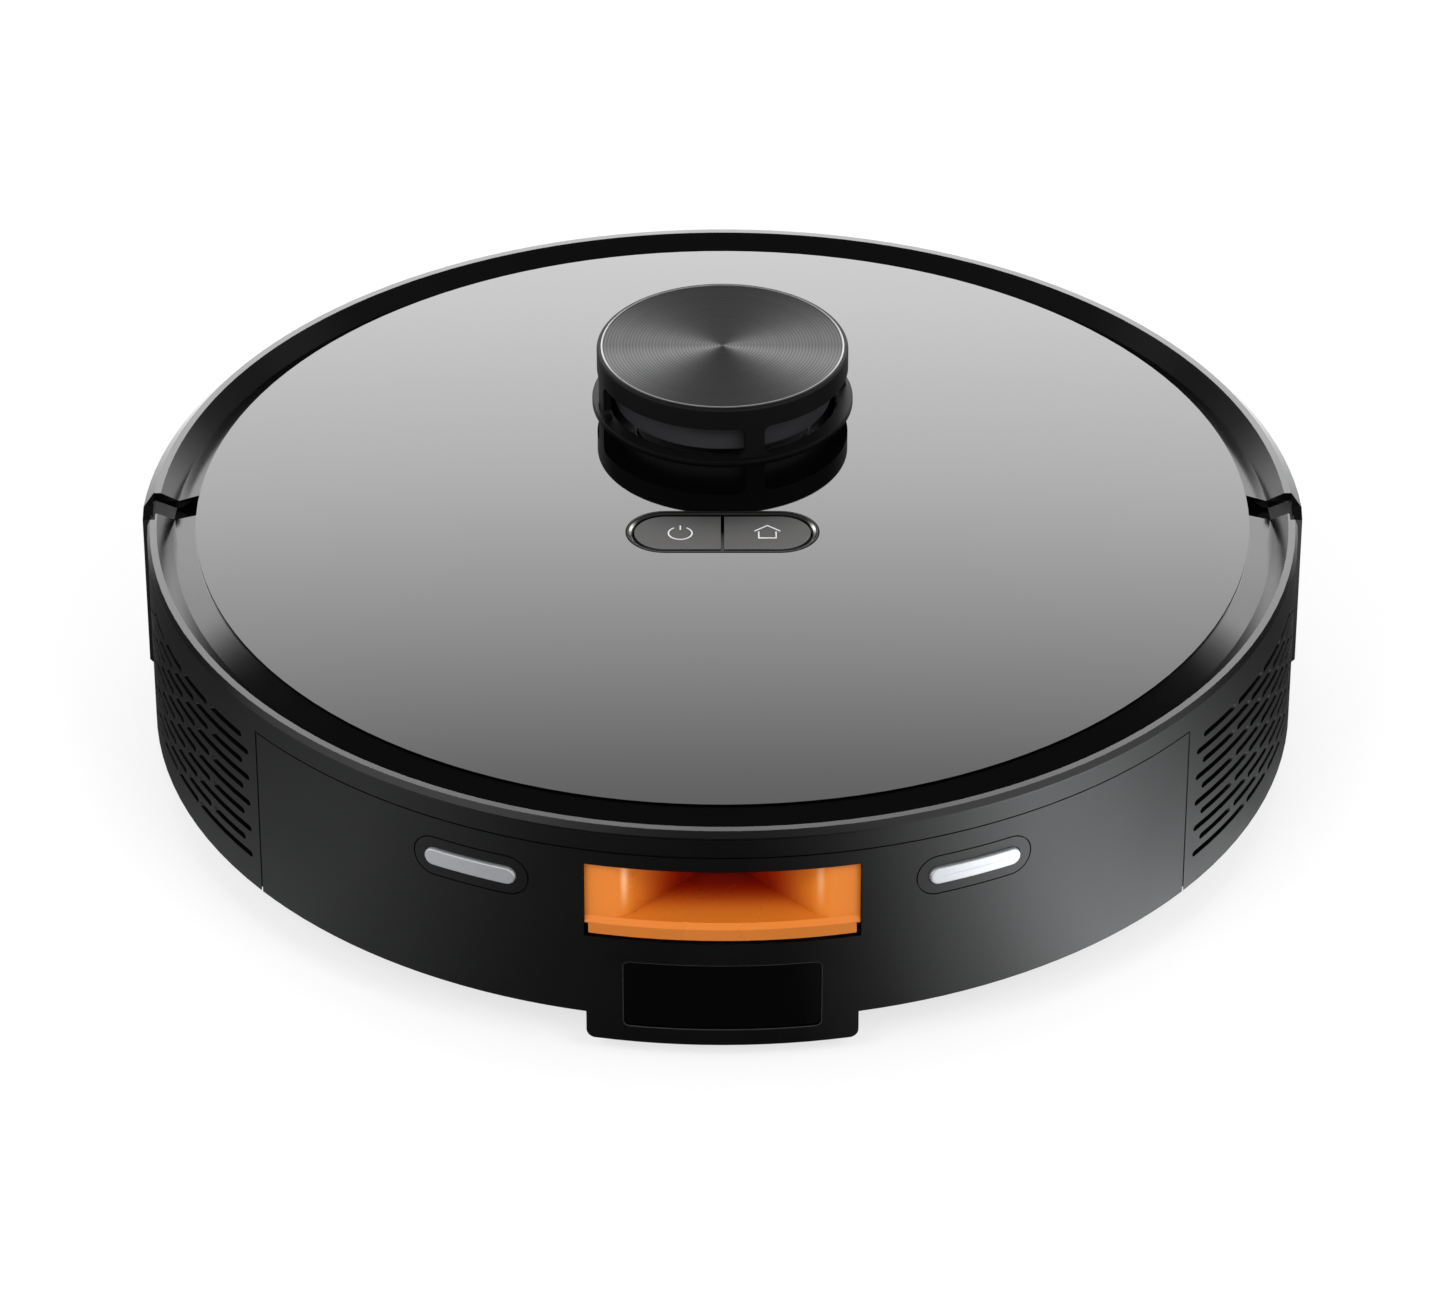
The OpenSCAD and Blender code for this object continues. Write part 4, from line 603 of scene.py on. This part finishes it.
keyLacquer = keyFinish("keyLacquer", (0.05, 0.048, 0.047), 0.46)
screenCloth = wovenFinish("screenCloth", (0.002, 0.002, 0.0022), 0.7 * mm)
pleatedPaper = wovenFinish("pleatedPaper", (0.72, 0.7, 0.64), 1.2 * mm)
print("materials built")

dressing = {
    shellBlack: ["upper_housing", "bumper_shell", "dust_bin"],
    underBlack: ["lower_chassis", "battery_cover", "brush_cover", "caster_fork", "caster_wheel",
                 "side_brush_hub"],
    innerGrey: ["lidar_base", "lidar_pulley", "bumper_switches", "speaker", "fan_housing",
                "impeller", "brush_housing", "brush_core", "brush_motor", "side_brush_motor",
                "wheel_housings", "arm_left", "arm_right", "hub_left", "hub_right",
                "caster_socket", "bin_lid", "filter_frame", "inlet_flap"],
    ledgeBlack: ["turret_ledge"],
    turretBlack: ["turret_cover"],
    drumGrey: ["lidar_drum"],
    panelGlass: ["top_panel"],
    funnelOrange: ["port_funnel", "port_flap"],
    rubberBlack: ["lidar_belt", "inlet_seal", "brush_blades"],
    tyreRubber: ["tyre_left", "tyre_right"],
    smokedWindow: ["bumper_window", "cliff_windows", "lidar_lenses", "ir_window"],
    boardGreen: ["main_board", "button_board"],
    cellBlue: ["battery"],
    bezelChrome: ["button_bezel"],
    ringChrome: ["turret_ring"],
    contactMetal: ["dock_contacts"],
    plainSteel: ["lidar_motor", "fan_motor", "spring_left", "spring_right", "caster_axle"],
    turnedDisc: ["turret_disc"],
    keyLacquer: ["power_button", "home_button"],
    screenCloth: ["grille_screens"],
    pleatedPaper: ["filter_pleats"],
    nylonBlack: ["side_brush_bristles"],
}
for material, names in dressing.items():
    for name in names:
        mesh = nodes[name].data
        mesh.materials.clear()
        mesh.materials.append(material)
undressed = set(nodes) - {name for names in dressing.values() for name in names}
print("nodes dressed, left over:", sorted(undressed))

iconSpec = {
    "stroke": 0.42 * mm,
    "lift": 0.05 * mm,
    "sink": 0.03 * mm,
    "powerAt": (-12.7 * mm, -12.75 * mm),
    "powerRadius": 3.55 * mm,
    "powerGap": 32,                                 # degrees to each side of the bar
    "powerSteps": 49,
    "powerBar": (1.9 * mm, 3.0 * mm, 4.3 * mm),     # its points, above the centre
    "homeAt": (13.5 * mm, -12.3 * mm),
    "roof": (3.9 * mm, 0.7 * mm, 3.9 * mm),         # half the width, the eaves and the ridge
    "walls": (2.6 * mm, 0.4 * mm, -3.2 * mm),       # half the width, the top and the foot
}


# a flat ribbon along a plan path: at each point the section is a rectangle from low to high,
# half the width to each side along the path's normal, wider in a corner by one over the cosine
# of half its turn
def ribbonAlong(name, path, width, low, high):
    path = np.asarray(path, float)
    ahead = np.vstack([path[1:], 2 * path[-1] - path[-2]])
    behind = np.vstack([2 * path[0] - path[1], path[:-1]])
    along = ahead - behind
    along /= np.linalg.norm(along, axis=1)[:, None]
    side = np.stack([-along[:, 1], along[:, 0]], 1)
    before = path - behind
    before /= np.linalg.norm(before, axis=1)[:, None]
    square = np.stack([-before[:, 1], before[:, 0]], 1)
    stretch = 1 / np.clip(np.abs((side * square).sum(1)), 0.5, 1)
    half = side * (width / 2 * stretch)[:, None]
    ring = np.stack([np.column_stack([path + sign * half, np.full(len(path), height)])
                     for sign, height in ((1, low), (1, high), (-1, high), (-1, low))], 1)
    return meshFromGrid(name, ring, closeV=True, capU=True, smooth=False)


# two pictograms of ribbons: an open circle with a bar in its gap, and a roof over open walls
def makeIcons(spec):
    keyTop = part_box("power_button")[1].z
    low, high = keyTop - spec["sink"], keyTop + spec["lift"]
    x, y = spec["powerAt"]
    gap, radius = spec["powerGap"], spec["powerRadius"]
    turn = np.radians(np.linspace(90 + gap, 450 - gap, spec["powerSteps"]))
    ring = np.column_stack([x + radius * np.cos(turn), y + radius * np.sin(turn)])
    bar = [(x, y + height) for height in spec["powerBar"]]
    power = joinMeshes("powerIcon", [ribbonAlong("arc", ring, spec["stroke"], low, high),
                                     ribbonAlong("bar", bar, spec["stroke"], low, high)])
    x, y = spec["homeAt"]
    half, eaves, ridge = spec["roof"]
    roof = [(x - half, y + eaves), (x, y + ridge), (x + half, y + eaves)]
    half, top, foot = spec["walls"]
    walls = [(x - half, y + top), (x - half, y + foot), (x + half, y + foot), (x + half, y + top)]
    home = joinMeshes("homeIcon", [ribbonAlong("roof", roof, spec["stroke"], low, high),
                                   ribbonAlong("walls", walls, spec["stroke"], low, high)])
    addPiece("powerIcon", power, printWhite, "power_key")
    addPiece("homeIcon", home, printWhite, "home_key")


makeIcons(iconSpec)
print("pictograms made")

contactSpec = {
    "length": 28.6 * mm,
    "height": 5.5 * mm,
    "middle": 57.3 * mm,
    "turn": math.asin(71.9 / 173.4),    # bearing of a bar 71.9 mm from the middle, on the wall
    "reach": 174.3 * mm,
    "rings": [(0.0, -3.2), (0.0, -0.5), (0.1, -0.2), (0.28, -0.05), (0.5, 0.0), (0.9, 0.0),
              (1.6, 0.0), (2.7, 0.0)],  # inset and height of each, in millimetres
    "endSteps": 17,
    "sideSteps": 13,
}


# contact bars: pill outlines shrunk ring by ring, each point pushed out along the bar's own normal
# until its distance from the body's axis is the wall's radius plus the ring's height
def makeContacts(spec):
    half = spec["height"] / 2
    straight = spec["length"] / 2 - half
    end, side = spec["endSteps"], spec["sideSteps"]
    turn = np.radians(np.linspace(-90, 90, end))
    shift = np.linspace(1, -1, side + 2)[1:-1] * straight
    along = np.concatenate([np.full(end, straight), shift, np.full(end, -straight), -shift])
    cosine = np.concatenate([np.cos(turn), np.zeros(side), -np.cos(turn), np.zeros(side)])
    sine = np.concatenate([np.sin(turn), np.ones(side), -np.sin(turn), -np.ones(side)])
    parts = []
    for bearing in (-spec["turn"], spec["turn"]):
        rings = []
        for inset, height in spec["rings"]:
            across = along + (half - inset * mm) * cosine
            out = np.sqrt((spec["reach"] + height * mm) ** 2 - across ** 2)
            rings.append(np.column_stack([across * math.cos(bearing) + out * math.sin(bearing),
                                          across * math.sin(bearing) - out * math.cos(bearing),
                                          spec["middle"] + (half - inset * mm) * sine]))
        parts.append(meshFromGrid("bar", np.stack(rings), closeV=True, capU=True))
    bars = addPiece("contactBars", joinMeshes("contactBars", parts), contactMetal, "module")
    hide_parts("dock_contacts")


beadSpec = {
    "half": 28.42 * mm,
    "low": 10.88 * mm,
    "high": 33.32 * mm,
    "corner": 1.8 * mm,
    "thick": 0.16 * mm,
    "reach": 173.1 * mm,
    "cornerSteps": 7,
    "sideSteps": 17,
    "tubeSides": 6,
}


# bead in the gap round the dock window: a thin tube along a rounded rectangle, each point put at
# the wall's radius plus the tube's own height there
def makeBead(spec):
    corner = np.radians(np.linspace(0, 90, spec["cornerSteps"]))
    half, rise = spec["half"] - spec["corner"], (spec["high"] - spec["low"]) / 2 - spec["corner"]
    middle = (spec["high"] + spec["low"]) / 2
    path, normal = [], []
    for k, (right, up) in enumerate(((1, 1), (-1, 1), (-1, -1), (1, -1))):
        turn = corner + k * math.pi / 2
        facing = np.column_stack([np.cos(turn), np.sin(turn)])
        path.append(np.array([right * half, up * rise]) + spec["corner"] * facing)
        normal.append(facing)
        if right == up:                 # a long side follows this corner
            across = np.linspace(1, -1, spec["sideSteps"] + 2)[1:-1] * right * half
            edge = np.full(len(across), up * (rise + spec["corner"]))
            path.append(np.column_stack([across, edge]))
            normal.append(np.tile([0.0, float(up)], (len(across), 1)))
    path, normal = np.concatenate(path), np.concatenate(normal)
    around = np.linspace(0, 2 * math.pi, spec["tubeSides"], endpoint=False)
    points = path[:, None] + spec["thick"] * np.cos(around)[None, :, None] * normal[:, None]
    out = spec["reach"] + spec["thick"] * np.sin(around)[None, :]
    x, z = points[..., 0], middle + points[..., 1]
    tube = np.stack([x, -np.sqrt(out ** 2 - x ** 2), z], -1)
    bead = addPiece("windowBead", meshFromGrid("windowBead", tube, closeU=True, closeV=True),
                    beadGrey, "module")


finSpec = {
    "coreRadius": 7.9 * mm,
    "tipRadius": 19.4 * mm,
    "halfThick": 0.75 * mm,
    "rootShare": 1.5,                   # of the half thickness, where a fin leaves the core
    "waist": (0.6, 1.15),               # share of the tip's radius, share of the half thickness
    "fins": 6,
    "twist": math.radians(70),
    "steps": 64,
    "tipSteps": 9,
}


# rubber fins in a chevron: the section, a tapering strip with a round tip, is turned about the
# brush's axis by an angle that grows with the distance from the middle, once to each side
def makeFins(spec):
    low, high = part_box("brush_blades")
    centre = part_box("brush_core")
    axisY, axisZ = (centre[0].y + centre[1].y) / 2, (centre[0].z + centre[1].z) / 2
    tip = np.radians(np.linspace(-90, 90, spec["tipSteps"]))
    half, root = spec["halfThick"], spec["rootShare"] * spec["halfThick"]
    waist, waistHalf = spec["waist"][0] * spec["tipRadius"], spec["waist"][1] * half
    along = np.concatenate([[spec["coreRadius"], waist],
                            spec["tipRadius"] - half + half * np.cos(tip),
                            [waist, spec["coreRadius"]]])
    across = np.concatenate([[-root, -waistHalf], half * np.sin(tip), [waistHalf, root]])
    travel = np.linspace(0, 1, spec["steps"])
    parts = []
    for reach in (high.x, low.x):
        for k in range(spec["fins"]):
            turn = (2 * math.pi * k / spec["fins"] + spec["twist"] * travel)[:, None]
            y = axisY + along * np.cos(turn) - across * np.sin(turn)
            z = axisZ + along * np.sin(turn) + across * np.cos(turn)
            x = np.broadcast_to((travel * reach)[:, None], y.shape)
            parts.append(meshFromGrid("fin", np.stack([x, y, z], -1), closeV=True, capU=True))
    fins = addPiece("brushFins", joinMeshes("brushFins", parts), rubberBlack, "main_brush")
    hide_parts("brush_blades")


bristleSpec = {
    "arms": 3,
    "firstArm": math.radians(45),
    "perTuft": 46,
    "radius": 0.16 * mm,
    "taper": 0.35,                      # share of the radius lost at the tip
    "root": 26 * mm,
    "inset": 3 * mm,                    # the tips end this far inside the arms' reach
    "uneven": 1.6 * mm,                 # random shortening
    "rounding": 2.0 * mm,               # how much shorter the outermost bristles are
    "tuftHalf": 1.6 * mm,
    "tuftDepth": 0.9 * mm,
    "gather": 0.6,                      # share of the tuft's depth lost at the tip
    "spread": math.radians(9),
    "droop": 0.33 * mm,
    "sides": 5,
    "steps": 7,
    "seed": 7,
}


# a tuft of nylon bristles on each arm: each is a thin tube along a curve that leaves the arm,
# fans out by its place in the tuft and sinks with the square of its length
def makeBristles(spec):
    low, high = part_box("side_brush_bristles")
    spin = next(joint for joint in frame["joints"] if joint["name"] == "side_brush_spin")
    centre = spin["pos_m"]
    reach = math.hypot(high.x - centre[0], high.y - centre[1]) - spec["inset"]
    rng = np.random.default_rng(spec["seed"])
    count = spec["perTuft"]
    place = np.linspace(-1, 1, count)
    level = rng.uniform(-0.5, 0.5, count)
    short = spec["uneven"] * rng.random(count) + spec["rounding"] * place ** 2
    length = reach - spec["root"] - short
    travel = np.linspace(0, 1, spec["steps"])
    ring = spec["radius"] * (1 - spec["taper"] * travel)[:, None]
    around = np.linspace(0, 2 * math.pi, spec["sides"], endpoint=False)
    middle = (low.z + high.z) / 2
    parts = []
    for k in range(spec["arms"]):
        arm = spec["firstArm"] + 2 * math.pi * k / spec["arms"]
        for j in range(count):
            turn = arm + spec["spread"] * place[j] * travel
            out = spec["root"] + length[j] * travel
            aside = spec["tuftHalf"] * place[j]
            x = centre[0] + out * np.cos(turn) - aside * math.sin(arm)
            y = centre[1] + out * np.sin(turn) + aside * math.cos(arm)
            depth = spec["tuftDepth"] * level[j] * (1 - spec["gather"] * travel)
            z = middle + depth - spec["droop"] * travel ** 2
            side = np.array([-math.sin(turn[-1]), math.cos(turn[-1])])
            points = np.stack([x[:, None] + ring * np.cos(around) * side[0],
                               y[:, None] + ring * np.cos(around) * side[1],
                               z[:, None] + ring * np.sin(around)], -1)
            parts.append(meshFromGrid("bristle", points, closeV=True, capU=True))
    tufts = addPiece("sideBristles", joinMeshes("sideBristles", parts), nylonBlack, "side_brush")
    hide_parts("side_brush_bristles")


screwSpec = {
    "radius": 3.0 * mm,
    "proud": 0.35 * mm,
    "cross": (1.75 * mm, 0.42 * mm),                # reach of an arm, and half its width
    "recess": [(0.8, 0.12), (1.0, 0.95)],           # shares of the cross's size and of proud
    "head": [(0.78, 1.0), (0.93, 0.8), (1.0, 0.3), (1.0, -1.0)],    # the same for its circles
    "turned": (17, 53),                             # degrees, of the first screw and between two
    "chassis": [(-96, 92), (-97, 56), (97, 56), (-107, -45), (107, -45), (-52, 119), (52, 119)],
    "cover": [(-68, 98), (68, 98)],
}


# cross-head screws in the flat belly: rings of 24 points, first the cross at the bottom of its
# recess and at its edge, then circles that round the head off into the surface
def makeScrews(spec):
    reach, half = spec["cross"]
    inner = (reach + half) / 2
    arm = np.array([(reach, 0), (reach, half), (inner, half), (half, half), (half, inner),
                    (half, reach)])
    quarter = np.array([[0, 1], [-1, 0]])
    cross = np.concatenate([arm @ np.linalg.matrix_power(quarter, k) for k in range(4)])
    bearing = np.radians(np.arange(24) * 15)
    circle = np.column_stack([np.cos(bearing), np.sin(bearing)]) * spec["radius"]
    rings = [(outline * size, spec["proud"] * height)
             for outline, steps in ((cross, spec["recess"]), (circle, spec["head"]))
             for size, height in steps]
    first, step = spec["turned"]
    parts = []
    for node, places in (("lower_chassis", spec["chassis"]), ("battery_cover", spec["cover"])):
        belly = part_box(node)[0].z
        for k, (x, y) in enumerate(places):
            spin = math.radians(first + step * k)
            turn = np.array([[math.cos(spin), math.sin(spin)], [-math.sin(spin), math.cos(spin)]])
            points = [np.column_stack([ring @ turn + (x * mm, y * mm), np.full(24, belly - height)])
                      for ring, height in rings]
            screw = meshFromGrid("screw", np.stack(points), closeV=True, capU=True, smooth=False)
            parts.append(screw)
    screws = addPiece("bellyScrews", joinMeshes("bellyScrews", parts), darkSteel, "body")


makeContacts(contactSpec)
makeBead(beadSpec)
makeScrews(screwSpec)
print("contacts, bead and screws made")
makeFins(finSpec)
makeBristles(bristleSpec)
print("brushes made")

roomSpec = {
    "floorSize": 14.0,
    "floorTone": 0.93,
    "floorRough": 0.9,
    "cardTint": (0.97, 0.985, 1.0),
    "far": (0.5, 1.3),                  # metres from the middle, where the cards end
    "farGlow": 0.9,
    "whiteShare": (0.72, 1.0),          # how white the camera sees the paper, near and far
    "ambient": 0.62,
    # brightness by bearing in degrees, 0 at the front and 90 at the right
    "floorGlow": [(-180, 0.35), (-160, 0.9), (-143, 1.7), (-128, 0.9), (-112, 0.1), (-97, 0.06),
                  (-80, 0.12), (-64, 0.34), (-50, 0.5), (-38, 0.36), (-25, 0.14), (-8, 0.04),
                  (8, 0.05), (18, 0.3), (31, 1.5), (38, 2.6), (44, 3.0), (50, 2.6), (62, 1.4),
                  (74, 0.5), (86, 0.16), (97, 0.08), (112, 0.1), (128, 0.9), (143, 1.7),
                  (160, 0.9), (180, 0.35)],
    # brightness by height over the horizon in degrees
    "centreBand": [(-2, 0.4), (0, 0.7), (15, 1.9), (22, 4.1), (27, 7.3), (29.63, 6.7), (31.3, 5.2),
                   (32.4, 3.7), (33.8, 1.8), (35.3, 0.75), (38, 0.22), (50, 0.03), (90, 0.02)],
    "sideBand": [(-2, 1.1), (0, 1.3), (6, 1.5), (16, 3.1), (27, 4.1), (31.5, 5.2), (34, 1.8),
                 (37, 0.05), (90, 0.02)],
    "ringBand": [(-2, 0.13), (8, 0.2), (15, 0.8), (24, 1.5), (31, 1.5), (37, 0.5), (42, 0.1),
                 (90, 0.03)],
    "lowSides": [(-10, 1.0), (6, 1.0), (14, 0.0), (90, 0.0)],
    # how far the direction leans to a side, or back, where each band begins and is full
    "sideFrom": (0.12, 0.38),
    "windowEnds": (0.5, 0.74),
    "lowFrom": (0.12, 0.78),
    "lowTop": 1.1,
    "behind": (0.0, 0.4),
    "ringBehind": 0.1,
}


def mixShader(tree, factor, first, second):
    node = tree.nodes.new("ShaderNodeMixShader")
    feed(tree, node.inputs[0], factor)
    link(tree, first, node.inputs[1])
    link(tree, second, node.inputs[2])
    return node.outputs[0]


# matt paper to the camera and to soft light, whiter far out; reflections see light cards laid
# round the object, whose brightness is a ramp over the bearing
def makeFloor(spec):
    half = spec["floorSize"] / 2
    corners = [(-half, -half, 0), (half, -half, 0), (half, half, 0), (-half, half, 0)]
    mesh = bpy.data.meshes.new("floor")
    mesh.from_pydata(corners, [], [(0, 1, 2, 3)])
    floor = bpy.data.objects.new("floor", mesh)
    bpy.context.scene.collection.objects.link(floor)
    tone = spec["floorTone"]
    material, tree, shader, where = startMaterial("floorPaper", (tone, tone, tone),
                                                  spec["floorRough"], specular=0.0)
    x, y, z = splitVector(tree, where)
    bearing = mathNode(tree, "DEGREES", mathNode(tree, "ARCTAN2", x, times(tree, y, -1.0)))
    near = rampNode(tree, bearing, spec["floorGlow"], -180, 180)
    far = rangeNode(tree, distance(tree, x, y), *spec["far"], 0.0, 1.0, soft=True)
    cards = tree.nodes.new("ShaderNodeEmission")
    cards.inputs["Color"].default_value = (*spec["cardTint"], 1)
    link(tree, between(tree, far, near, spec["farGlow"]), cards.inputs["Strength"])
    white = tree.nodes.new("ShaderNodeEmission")
    path = tree.nodes.new("ShaderNodeLightPath").outputs
    share = times(tree, path["Is Camera Ray"], rangeNode(tree, far, 0.0, 1.0, *spec["whiteShare"]))
    seen = mixShader(tree, share, shader.outputs[0], white.outputs[0])
    glossy = mixShader(tree, path["Is Glossy Ray"], seen, cards.outputs[0])
    link(tree, mixShader(tree, path["Is Transmission Ray"], glossy, white.outputs[0]),
         tree.nodes["Material Output"].inputs[0])
    mesh.materials.append(material)


def whiteBackground(tree, strength):
    node = tree.nodes.new("ShaderNodeBackground")
    node.inputs["Color"].default_value = (1, 1, 1, 1)
    feed(tree, node.inputs["Strength"], strength)
    return node.outputs[0]


# white to the camera, an even grey to soft light, and to reflections a bright window band
# behind the object with softer ones at its sides, each a ramp over the elevation
def makeWorld(spec):
    world = bpy.data.worlds.new("studio")
    bpy.context.scene.world = world
    world.use_nodes = True
    tree = world.node_tree
    tree.nodes.clear()
    where = tree.nodes.new("ShaderNodeTexCoord")
    x, y, z = splitVector(tree, where.outputs["Generated"])
    rise = mathNode(tree, "DEGREES", mathNode(tree, "ARCSINE", z))
    aside = mathNode(tree, "ABSOLUTE", x)
    centre, sides, ring, low = (rampNode(tree, rise, spec[band], -10, 90)
                                for band in ("centreBand", "sideBand", "ringBand", "lowSides"))
    toSide = rangeNode(tree, aside, *spec["sideFrom"], 0.0, 1.0, soft=True)
    pastWindow = rangeNode(tree, aside, *spec["windowEnds"], 0.0, 1.0, soft=True)
    low = times(tree, low, rangeNode(tree, aside, *spec["lowFrom"], 0.0, spec["lowTop"], soft=True))
    behind = rangeNode(tree, y, *spec["behind"], 0.0, 1.0, soft=True)
    around = plus(tree, between(tree, behind, ring, times(tree, ring, spec["ringBehind"])), low)
    window = between(tree, toSide, centre, sides)
    level = between(tree, times(tree, behind, minus(tree, 1.0, pastWindow)), around, window)
    path = tree.nodes.new("ShaderNodeLightPath").outputs
    seen = mathNode(tree, "MAXIMUM", path["Is Camera Ray"], path["Is Transmission Ray"])
    unseen = mixShader(tree, path["Is Glossy Ray"], whiteBackground(tree, spec["ambient"]),
                       whiteBackground(tree, level))
    out = tree.nodes.new("ShaderNodeOutputWorld")
    link(tree, mixShader(tree, seen, unseen, whiteBackground(tree, 1.0)), out.inputs[0])


lampSpec = {
    "frontLeft": {"at": (-1.2, -1.6, 1.8), "aim": (0, -0.1, 0.05), "size": (1.2, 1.0), "watts": 28},
    "frontRight": {"at": (1.2, -1.6, 1.8), "aim": (0, -0.1, 0.05), "size": (1.2, 1.0), "watts": 28},
    "above": {"at": (0, 0.6, 2.4), "aim": (0, 0, 0), "size": (1.6, 1.6), "watts": 20},
}


# a soft rectangle that lights matt surfaces; shiny ones see the world's bands instead
def makeLamp(name, spec):
    light = bpy.data.lights.new(name, "AREA")
    light.shape = "RECTANGLE"
    light.size, light.size_y = spec["size"]
    light.energy = spec["watts"]
    lamp = bpy.data.objects.new(name, light)
    lamp.location = spec["at"]
    facing = Vector(spec["aim"]) - Vector(spec["at"])
    lamp.rotation_euler = facing.to_track_quat("-Z", "Y").to_euler()
    lamp.visible_glossy = False
    bpy.context.scene.collection.objects.link(lamp)


makeFloor(roomSpec)
makeWorld(roomSpec)
for name, spec in lampSpec.items():
    makeLamp(name, spec)
bpy.context.scene.view_settings.view_transform = "Standard"
print("room made")
